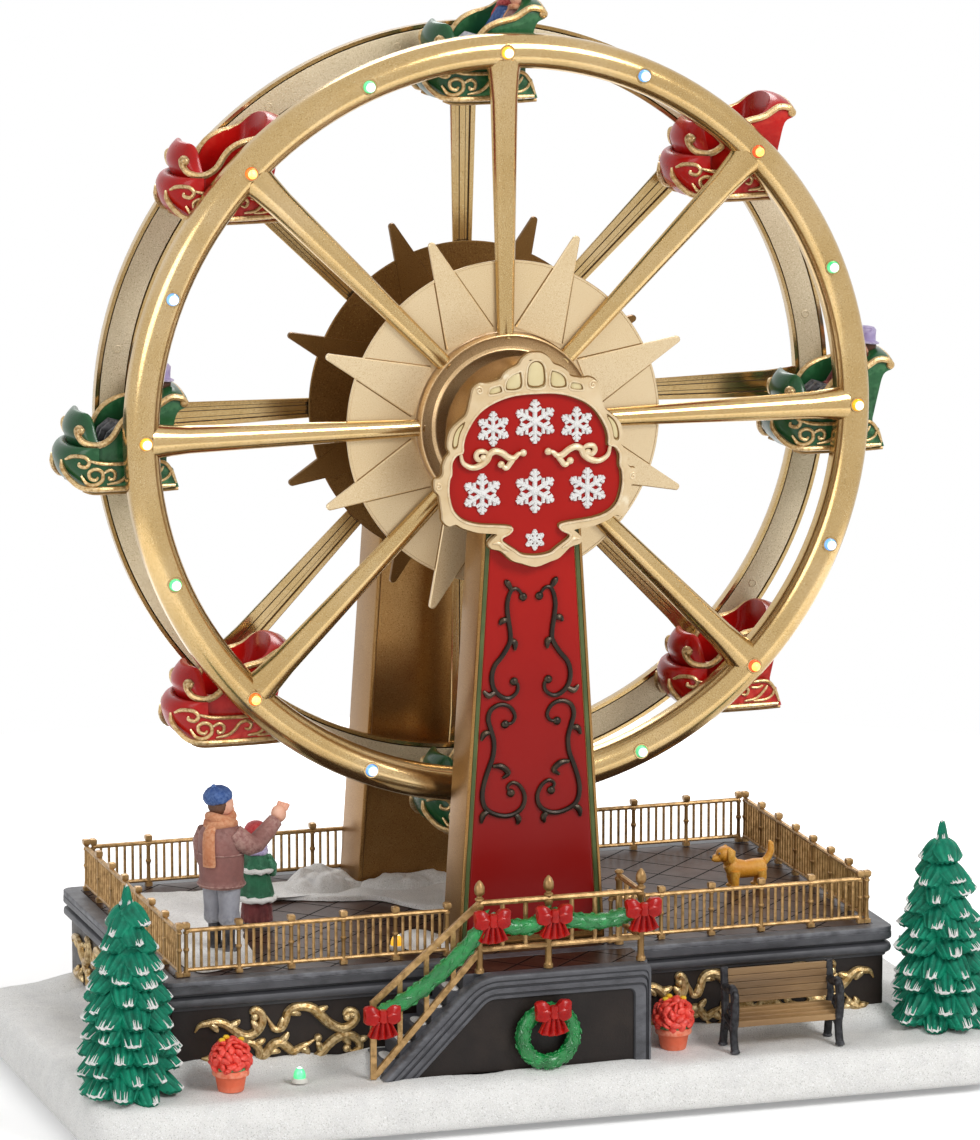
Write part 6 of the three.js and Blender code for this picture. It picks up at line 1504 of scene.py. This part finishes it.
def ring_cover(name, node, front):
    place = side_point(front)
    s = Shape()
    s.turned([(145.0, 22.7), (145.4, 22.6), (154.6, 22.6), (155.0, 22.7), (154.9, 23.7), (145.1, 23.7)], place, 160)
    for i, (z, x) in enumerate(circle(PIN_CIRCLE, PIN_CIRCLE, 4 * SPOKES)):
        if i % 4 != 2:                                     # a boss at each pin, a small one on both its sides
            r, thick, count, sides = (1.5, 0.3, 12, 5) if i % 4 else (3.6, 0.5, 24, 6)
            s.hoop([place(x + u, z + v, 22.6) for u, v in circle(r, r, count)], thick, sides)
    piece(name, s, RING_GOLD, "wheel", [node], "pale_gold")


def sunburst(name, node, front):
    place = side_point(front)
    s = Shape()
    inner, disc, tip, width = 37.3, 66.0, 80.6, 10.6
    s.turned([(inner, 26.7), (disc - 0.4, 26.7), (disc, 27.0), (disc, 27.5), (disc - 0.3, 27.9), (disc - 0.9, 27.9),
              (disc - 1.1, 27.7), (inner, 27.7)], place, 144)
    outline = [(u, tip - 1.5 + r) for u, r in circle(1.5, 1.5, 12)[:7]] + [(-width, 37.6), (width, 37.6)]
    shrink = lambda d: [(u * (1 - d / width) if r < 40 else u - d * (1 if u > 0 else -1) * min(1, abs(u)),
                         r - (d if r > 70 else 0)) for u, r in outline]
    for i in range(SPOKES):
        a = TAU * (i + 0.5) / SPOKES
        c, n = math.cos(a), math.sin(a)
        at = lambda u, r, w: place(u * c + r * n, r * c - u * n, w)
        s.use(0)
        s.grid([[at(u, r, w) for u, r in shrink(d)]
                for d, w in ((0.15, 26.95 if front else 26.5), (0, 27.0), (0, 28.3), (0.35, 28.6))])
        # Dark tubes along the rays' edges: painted shade in the creases.
        s.use(1)
        for way in (-1, 1):
            s.tube([at(way * (width * (1 - t) + 1.6 * t + 0.25), 38 + 40 * t, 27.74) for t in (0, 0.34, 0.68)], 0.22,
                   5, up=(0, 1, 0))
    # The rear plate takes the darker gold with painted shadow.
    piece(name, s, [PALE_GOLD if front else SHADOWED_SUNBURST_GOLD, CREASE_SHADE], "wheel", [node], "pale_gold", angle=30)


def lamp_string():
    place = side_point(True)
    s = Shape()
    names = list(LAMPS)
    cord, cuff, core = len(names), len(names) + 1, len(names) + 2
    s.use(cord)
    s.hoop([place(x, z, 27.5) for z, x in circle(PIN_CIRCLE, PIN_CIRCLE, 96)], 0.6)
    for (z, x), tint in zip(circle(PIN_CIRCLE, PIN_CIRCLE, LAMP_COUNT), LAMP_ORDER):
        number = names.index(tint)
        for mat, profile in ((number, ((2.5, 27.6), (2.5, 31.2), (2.45, 32.6), (2.2, 33.8), (1.9, 34.4))),
                             (core + number, ((1.9, 34.4), (1.7, 34.7), (0.9, 35.3), (0.2, 35.5)))):
            s.use(mat)
            s.grid([[place(x + u, z + v, w) for u, v in circle(r, r, 20)] for r, w in profile])
        s.use(cuff)
        s.hoop([place(x + u, z + v, 32.2) for u, v in circle(2.9, 2.9, 24)], 0.45)
    mats = list(LAMPS.values()) + [BLACK, GOLD] + [CORES[tint] for tint in names]
    piece("rim_lamps", s, mats, "wheel", ["front_lamp_string"], "lamp_lens")


def axle():
    s = Shape()
    m = Matrix.Translation(AXLE) @ Matrix.Rotation(-math.pi / 2, 4, "X")
    s.lathe([(0, -53.6), (3.6, -53.6), (4, -53.2), (4, -22.1), (8.6, -22.1), (9, -21.6), (9, -16), (8.2, -15),
             (8.2, -8), (9, -7), (9, 7), (8.2, 8), (8.2, 15), (9, 16), (9, 21.6), (8.6, 22.1), (4, 22.1), (4, 53.4),
             (3.6, 53.8), (0, 53.8)], m, 40)
    piece("axle_with_drum", s, STEEL, "wheel", ["main_axle"], "axle_steel")


for is_front, word in ((True, "front"), (False, "rear")):
    ring(word + "_wheel_side", word + "_ring", is_front)
    ring_cover(word + "_channel_cover", word + "_ring_cover", is_front)
    sunburst(word + "_sunburst_plate", word + "_sunburst", is_front)
lamp_string()
axle()
recolour("slip_ring", BRASS)
recolour("drive_gear", NYLON)
recolour("motor_pinion", NYLON)


# Sleighs

# Side outlines as shares of the length and height, forward to the left
TUB = [(-0.452, -0.08), (-0.488, 0.057), (-0.462, 0.19), (-0.4, 0.265), (-0.342, 0.216), (-0.336, 0.08),
       (-0.267, -0.046), (-0.173, 0.022), (-0.115, 0.162), (0.019, 0.284), (0.154, 0.332), (0.279, 0.443),
       (0.4, 0.392), (0.404, 0.31), (0.327, 0.243), (0.279, 0), (0.24, -0.24), (0.24, -0.38), (-0.346, -0.38)]
SKIRT = [(-0.43, -0.551), (-0.52, -0.43), (-0.569, -0.243), (-0.548, -0.122), (-0.49, -0.081), (-0.433, -0.122),
         (-0.32, -0.25), (0.204, -0.249), (0.281, -0.346), (0.325, -0.551)]
SLEIGH_L, SLEIGH_H = 52.0, 37.0
TUB_SIDE = (16.6, -13.52, -25.4, 0.3)                      # half width, where the nose begins and ends, its draw
SKIRT_SIDE = (18.6, -15.6, -29.6, 0.0)
# Raised lines: the side they lie on, radius, steps between points, points
SLEIGH_LINES = [
    (TUB_SIDE, 1.38, 5, [(-20.6, 3.4), (-21.6, 4.4), (-22.6, 3.4), (-22.3, 1.2), (-20.8, -1.2), (-18.4, -2.2),
                         (-15.4, -2.3), (-12.4, -1.2), (-9.4, 1.2), (-6.6, 5.4), (-3.6, 8.3), (0.8, 10.3), (8, 12.0),
                         (14.0, 15.4), (18.2, 15.2), (20.2, 13.8), (20.0, 12.2)]),
    (SKIRT_SIDE, 0.84, 4, [(-27.4, -8.2), (-25.2, -6.6), (-21.4, -6.6), (-19.6, -8.6), (-20.8, -10.6), (-23, -10.2),
                           (-23.2, -8.8)]),
    (SKIRT_SIDE, 1.14, 4, [(-28.4, -8.6), (-28.0, -12.6), (-25.6, -16.6), (-21.6, -19.2), (-12, -19.7), (2, -19.7),
                           (15.4, -19.5)]),
    (SKIRT_SIDE, 0.78, 4, [(-19.8, -8.0), (-14, -9.4), (-6, -9.8), (3, -9.8), (10.2, -9.8), (13.6, -13.2),
                           (15.8, -18.6)]),
    (SKIRT_SIDE, 0.78, 4, [(-22.6, -14.2), (-20.6, -17.2), (-17.6, -17.8), (-14.6, -16.0), (-14.6, -12.8),
                           (-17.2, -11.4), (-19.6, -12.6), (-19.4, -15.0), (-17.4, -15.8), (-16.2, -14.6)]),
    (SKIRT_SIDE, 0.72, 4, [(-14.4, -13.4), (-11.4, -12.0), (-9.4, -13.2), (-9.6, -15.4), (-11.4, -15.8),
                           (-12, -14.6)]),
    (SKIRT_SIDE, 0.72, 4, [(-12.6, -17.8), (-8, -17.0), (-5, -15.2), (-2.6, -12.4), (0.4, -11.6), (2.2, -13.2),
                           (1.2, -15.0), (-0.6, -14.6)]),
    (SKIRT_SIDE, 0.66, 4, [(0.6, -17.6), (5.4, -16.8), (8.8, -14.0), (10.6, -11.6)]),
    (SKIRT_SIDE, 0.6, 4, [(4.6, -17.8), (9.8, -17.4), (12.6, -15.8), (13.4, -14)]),
    (SKIRT_SIDE, 0.6, 4, [(3.4, -12.0), (6.4, -12.2), (8.6, -11.4)])]


def side_depth(x, half, start, nose):
    """How far the side stands out at x: the nose is rounded in plan."""
    if x >= start:
        return half
    return half * math.sqrt(max(0.0, 1 - ((start - x) / (start - nose)) ** 2))


def squeeze(x, z, narrow):
    """How much the nose draws in towards its top."""
    step = lambda v: min(1, max(0, v)) ** 2 * (3 - 2 * min(1, max(0, v)))
    return 1 - narrow * step((z - 2) / 9) * step((-13 - x) / 10)


def nose_loft(s, outline, half, start, stations, narrow=0.0, dip=None, arch=0.0, hollow=False):
    """The side outline carried across, rounded in plan at the nose; a dip is what the nose sinks to at both sides."""
    rows = []
    for k in range(stations):
        a = -math.pi / 2 + math.pi * k / (stations - 1)
        lobe = min(1, max(0, (math.radians(72) - abs(a)) / math.radians(30)))
        lobe *= lobe * (3 - 2 * lobe)
        row = []
        for x, z in outline:
            px = x if x >= start else start + (x - start) * math.cos(a)
            if dip and x < dip[0] and z > dip[1]:
                z = dip[1] + (z - dip[1]) * lobe
            if hollow and x > 2:
                px = 2 + (x - 2) * max(0.0, math.cos(a)) ** 0.35
            if x > 6 and z > 8:
                z += arch * max(0.0, math.cos(a)) ** 1.3 * min(1, (z - 8) / 6)
            row.append(V(px, half * math.sin(a) * squeeze(px, z, narrow), z))
        rows.append(row)
    s.grid(rows)


def on_side(x, z, way, half, start, nose, narrow):
    """A point just off the side of the tub or the skirt."""
    return V(x, way * (side_depth(x, half, start, nose) * squeeze(x, z, narrow) + 0.3), z)


def rounded_part(shares, keep=3):
    """Round the outline except at the last keep points."""
    points = [(x * SLEIGH_L, z * SLEIGH_H) for x, z in shares]
    return [tuple(p) for p in smooth(points[:-keep], 4)] + points[-keep:]


def sleigh_meshes():
    tub, hollow, skirt, trim, runners, pins, cushion = [Shape() for _ in range(7)]
    nose_loft(tub, rounded_part(TUB), 16.6, -13.52, 37, 0.3, (-13.6, -1.9), 3.4)
    nose_loft(hollow, [(-15.6, 30), (-15.6, -2.0), (-14.4, -6.4), (-11, -9.0), (7.6, -9.0), (10.2, -2), (11.4, 4),
                       (13.4, 9), (15.2, 30)], 14.9, -8.0, 25, hollow=True)
    nose_loft(skirt, rounded_part(SKIRT), 18.6, -15.6, 29)
    for way in (-1, 1):
        for side, radius, steps, points in SLEIGH_LINES:
            trim.rope(points, radius, lambda x, z: on_side(x, z, way, *side), 0.55, 4, steps)
        for x, z, depth in ((-21.5, 3.2, 1.4), (20.0, 13.0, 1.0)):
            trim.ball(on_side(x, z, way, *TUB_SIDE), (1.8, depth, 1.8), 7, 12)
        runners.tube(smooth([(17.4, way * 15.4, -21.6), (8, way * 15.4, -21.9), (-12, way * 15.4, -21.9),
                             (-18, way * 15.2, -21.6), (-21.4, way * 14.6, -20.4)], 5), 0.75, 8)
        for x in (-14, 0, 12):
            runners.tube([(x, way * 15.4, -20.2), (x, way * 15.4, -21.8)], 0.6, 6)
        pins.lathe([(0, 15.4), (3.4, 15.4), (3.4, 17.4), (2.6, 17.8), (2, 18), (2, 25.3), (0, 25.3)],
                   Matrix.Rotation(-way * math.pi / 2, 4, "X"), 20)
    trim.tube([(19.8, 16.4 * math.sin(a), 14.4 + 3.3 * math.cos(a) ** 1.3) for a in
               [math.pi * (k / 16 - 0.5) * 0.999 for k in range(17)]], 0.9, 8)
    rows = []
    for t in [k / 8 for k in range(9)]:
        crown = 4 * math.sin(math.pi * (0.08 + 0.84 * t)) ** 0.5
        top = [V(10.6 * t - 1, -14.4 + 28.8 * j / 14,
                 crown * (0.72 + 0.28 * math.sin(math.pi * j / 14) ** 0.4) - (9.5 if j == 7 else 9))
               for j in range(15)]
        rows.append(top + [V(p.x, -p.y, -9) for p in top])
    cushion.grid(rows)
    return cut(tub, hollow), build("sleigh_skirt", skirt, []), build("sleigh_trim", trim, [TRIM_GOLD]), \
        build("sleigh_runners", runners, [RAIL_GOLD]), build("sleigh_pins", pins, [STEEL]), \
        build("sleigh_cushion", cushion, [DARK_RED])


def riders_shape():
    s = Shape()
    for y, coat, hat, scarf in ((-7.4, 0, 4, 5), (7.4, 1, 6, 4)):
        s.here = Matrix.Translation(V(0, y))
        s.use(coat)
        s.tube([(5.2, 0, -6.4), (6.6, 0, -2.6), (9, 0, 3.4), (11.4, 0, 8.6), (12.4, 0, 12.6), (12.6, 0, 14.8)],
               [4.6, 5.4, 5.4, 5.6, 4.4, 2.4], 14)
        for side in (-1, 1):
            s.tube([(11.6, side * 4.2, 11.6), (8.0, side * 5.6, 6.4), (4.0, side * 4.6, 1.6),
                    (0.8, side * 2.2, 1.2)], [2.1, 2.2, 1.9, 1.6], 9)
        s.use(2)
        for side in (-1, 1):
            s.tube([(5.0, side * 2.4, -4.4), (0.4, side * 2.6, -0.4), (-4.4, side * 2.7, 1.4),
                    (-7.2, side * 2.7, -0.8), (-9.6, side * 2.7, -5.4)], [3.0, 2.9, 2.6, 2.2, 1.8], 9)
        s.use(3)
        for side in (-1, 1):
            s.tube([(-9.2, side * 2.7, -5.0), (-10.2, side * 2.7, -7.4)], [2.0, 1.9], 9)
            s.ball((-11.6, side * 2.7, -7.6), (2.8, 1.5, 1.3), 6, 9)
        s.use(7)
        s.ball((12.3, 0, 19.6), (3.7, 3.5, 4.3), 10, 16)
        s.ball((8.6, 0, 19.2), (0.8, 0.6, 0.9), 5, 7)
        s.ball((0.2, 0.6, 1.0), (1.5, 1.7, 1.4), 6, 9)
        s.use(8)
        s.ball((13.2, 0, 20.2), (3.8, 3.8, 4.2), 9, 14)
        s.use(hat)
        lean = Matrix.Translation(V(12.6, 0, 21.4)) @ Matrix.Rotation(math.radians(8), 4, "Y")
        if y < 0:
            profile = [(0, 0), (5.4, 0), (5.6, 0.5), (4.0, 1.0), (3.7, 3.2), (3.6, 5.6), (2.6, 6.6), (0, 6.9)]
        else:
            profile = [(0, 0), (4.1, 0), (4.5, 0.8), (4.3, 1.9), (4.0, 3.6), (2.9, 5.4), (1.2, 6.3), (0, 6.5)]
            s.ball(lean @ V(0, 0, 6.9), 0.9, 5, 8)
        s.lathe(profile, s.here @ lean, 18)
        s.use(scarf)
        s.tube([(12.4 + x, y, 15.2 + 0.4 * math.sin(TAU * i / 8)) for i, (x, y) in enumerate(circle(3.1, 3.1, 16))],
               1.3, 8, closed=True)
        s.tube([(9.4, 1.0, 14.6), (7.6, 1.4, 11.0), (6.4, 1.4, 7.0)], [1.0, 1.3, 1.3], 8, flat=0.5, up=(0, 1, 0))
    return s


RIDER_SETS = [[COAT, BLUE_WOOL, TROUSERS, BLACK, RED_WOOL, TAN_WOOL, FUR, SKIN, HAIR],
              [GREEN_CLOTH, DARK_RED, BLACK, BLACK, LILAC, RED_WOOL, BLUE_WOOL, SKIN, HAIR]]


def coated(mesh, mat):
    copy = mesh.copy()
    copy.materials.clear()
    copy.materials.append(mat)
    copy.polygons.foreach_set("material_index", [0] * len(copy.polygons))
    return finish_mesh(copy, 38)


def sleighs():
    """Odd ones green, with two riders; even ones red and empty."""
    tub, skirt, trim, runners, pins, cushion = sleigh_meshes()
    shells = [[coated(mesh, mat) for mesh in (tub, skirt)] for mat in (RED_GLOSS, GREEN_GLOSS)]
    riders = [build("riders", riders_shape(), mats, 50) for mats in RIDER_SETS]
    for number, (z, x) in enumerate(circle(PIN_CIRCLE, PIN_CIRCLE, SPOKES), 1):
        green = number % 2
        paint = "sleigh_green" if green else "sleigh_red"
        parts = [("sleigh_tub", shells[green][0], paint), ("sleigh_skirt", shells[green][1], paint),
                 ("sleigh_scrolls", trim, "gold_paint"), ("sleigh_runners", runners, "gold_paint"),
                 ("sleigh_pins", pins, "axle_steel"), ("sleigh_seat", cushion, paint)]
        if green:
            parts.append(("riders", riders[number // 2 % 2], "figure_paint"))
        for word, mesh, slot in parts:
            piece(f"{word}_{number}", mesh, [], f"sleigh_body_{number}",
                  [f"sleigh_{number}"] if word == "sleigh_tub" else [], slot, at=AXLE + V(x, 0, z))


sleighs()


# Floor, light and camera

WHITE = (1, 1, 1, 1)
AMBIENT = 0.5
FLOOR_RADIUS, FLOOR_SIDES, FLOOR_GLOW = 0.66, 96, 0.30


def background_world():
    """White for camera, glossy and transmission rays, and soft grey light."""
    world = bpy.data.worlds.new("studio")
    bpy.context.scene.world = world
    graph = Graph(world)
    graph.nodes.clear()
    grey, white = [graph.add("Background", {"Color": WHITE, "Strength": power}) for power in (AMBIENT, 1.0)]
    graph.add("OutputWorld", {"Surface": graph.add("MixShader", {0: graph.seen(), 1: grey, 2: white})})


def floor():
    """A round pale floor that turns to the background's white towards its edge."""
    mesh = bpy.data.meshes.new("floor")
    mesh.from_pydata([V(x, y) for x, y in circle(FLOOR_RADIUS, FLOOR_RADIUS, FLOOR_SIDES)], [],
                     [list(range(FLOOR_SIDES))])
    mat = bpy.data.materials.new("floor")
    graph = Graph(mat)
    away = graph.add("VectorMath", {0: graph.add("TexCoord", {}, "Object")}, "Value", operation="LENGTH")
    rise = graph.add("MapRange", {0: away, 1: 0.22, 2: 0.60, 3: FLOOR_GLOW, 4: 1.0}, interpolation_type="SMOOTHSTEP")
    graph.fill(graph.nodes["Principled BSDF"], {
        "Base Color": (0.9, 0.9, 0.9, 1), "Roughness": 0.9, "Specular IOR Level": 0.1, "Emission Color": WHITE,
        "Emission Strength": graph.maths("MULTIPLY", graph.seen(), rise)})
    mesh.materials.append(mat)
    link(bpy.data.objects.new("floor", mesh))


def area(name, location, height, size, power):
    """A round lamp that faces the point at this height above the middle of the base."""
    data = bpy.data.lights.new(name, "AREA")
    data.shape, data.size, data.energy = "DISK", size, power
    obj = link(bpy.data.objects.new(name, data))
    obj.location = location
    obj.rotation_mode = "QUATERNION"
    obj.rotation_quaternion = (V(0, 0, height) - Vector(location)).to_track_quat("-Z", "Y")


def camera():
    """The photograph's view: its place and direction come from the rings, the plinth and the base."""
    data = bpy.data.cameras.new("camera")
    data.lens, data.sensor_width = 220.1, 36
    data.clip_start, data.clip_end = 0.05, 100
    view = V(0.2956, 0.9348, -0.1968).normalized()
    up = V(0.9535, -0.3015).cross(view).normalized()
    obj = link(bpy.data.objects.new("camera", data))
    obj.matrix_world = Matrix.Translation(V(-0.8334, -2.6433, 0.7637)) @ Matrix(
        (view.cross(up), up, -view)).transposed().to_4x4()
    bpy.context.scene.camera = obj


background_world()
floor()
area("key", (0.9, -1.9, 1.7), 0.22, 0.9, 34)
area("fill", (-1.9, -1.2, 0.9), 0.2, 1.2, 12)
area("rim", (0.3, 1.8, 1.6), 0.25, 1.0, 16)
camera()
bpy.context.scene.view_settings.view_transform = "Standard"
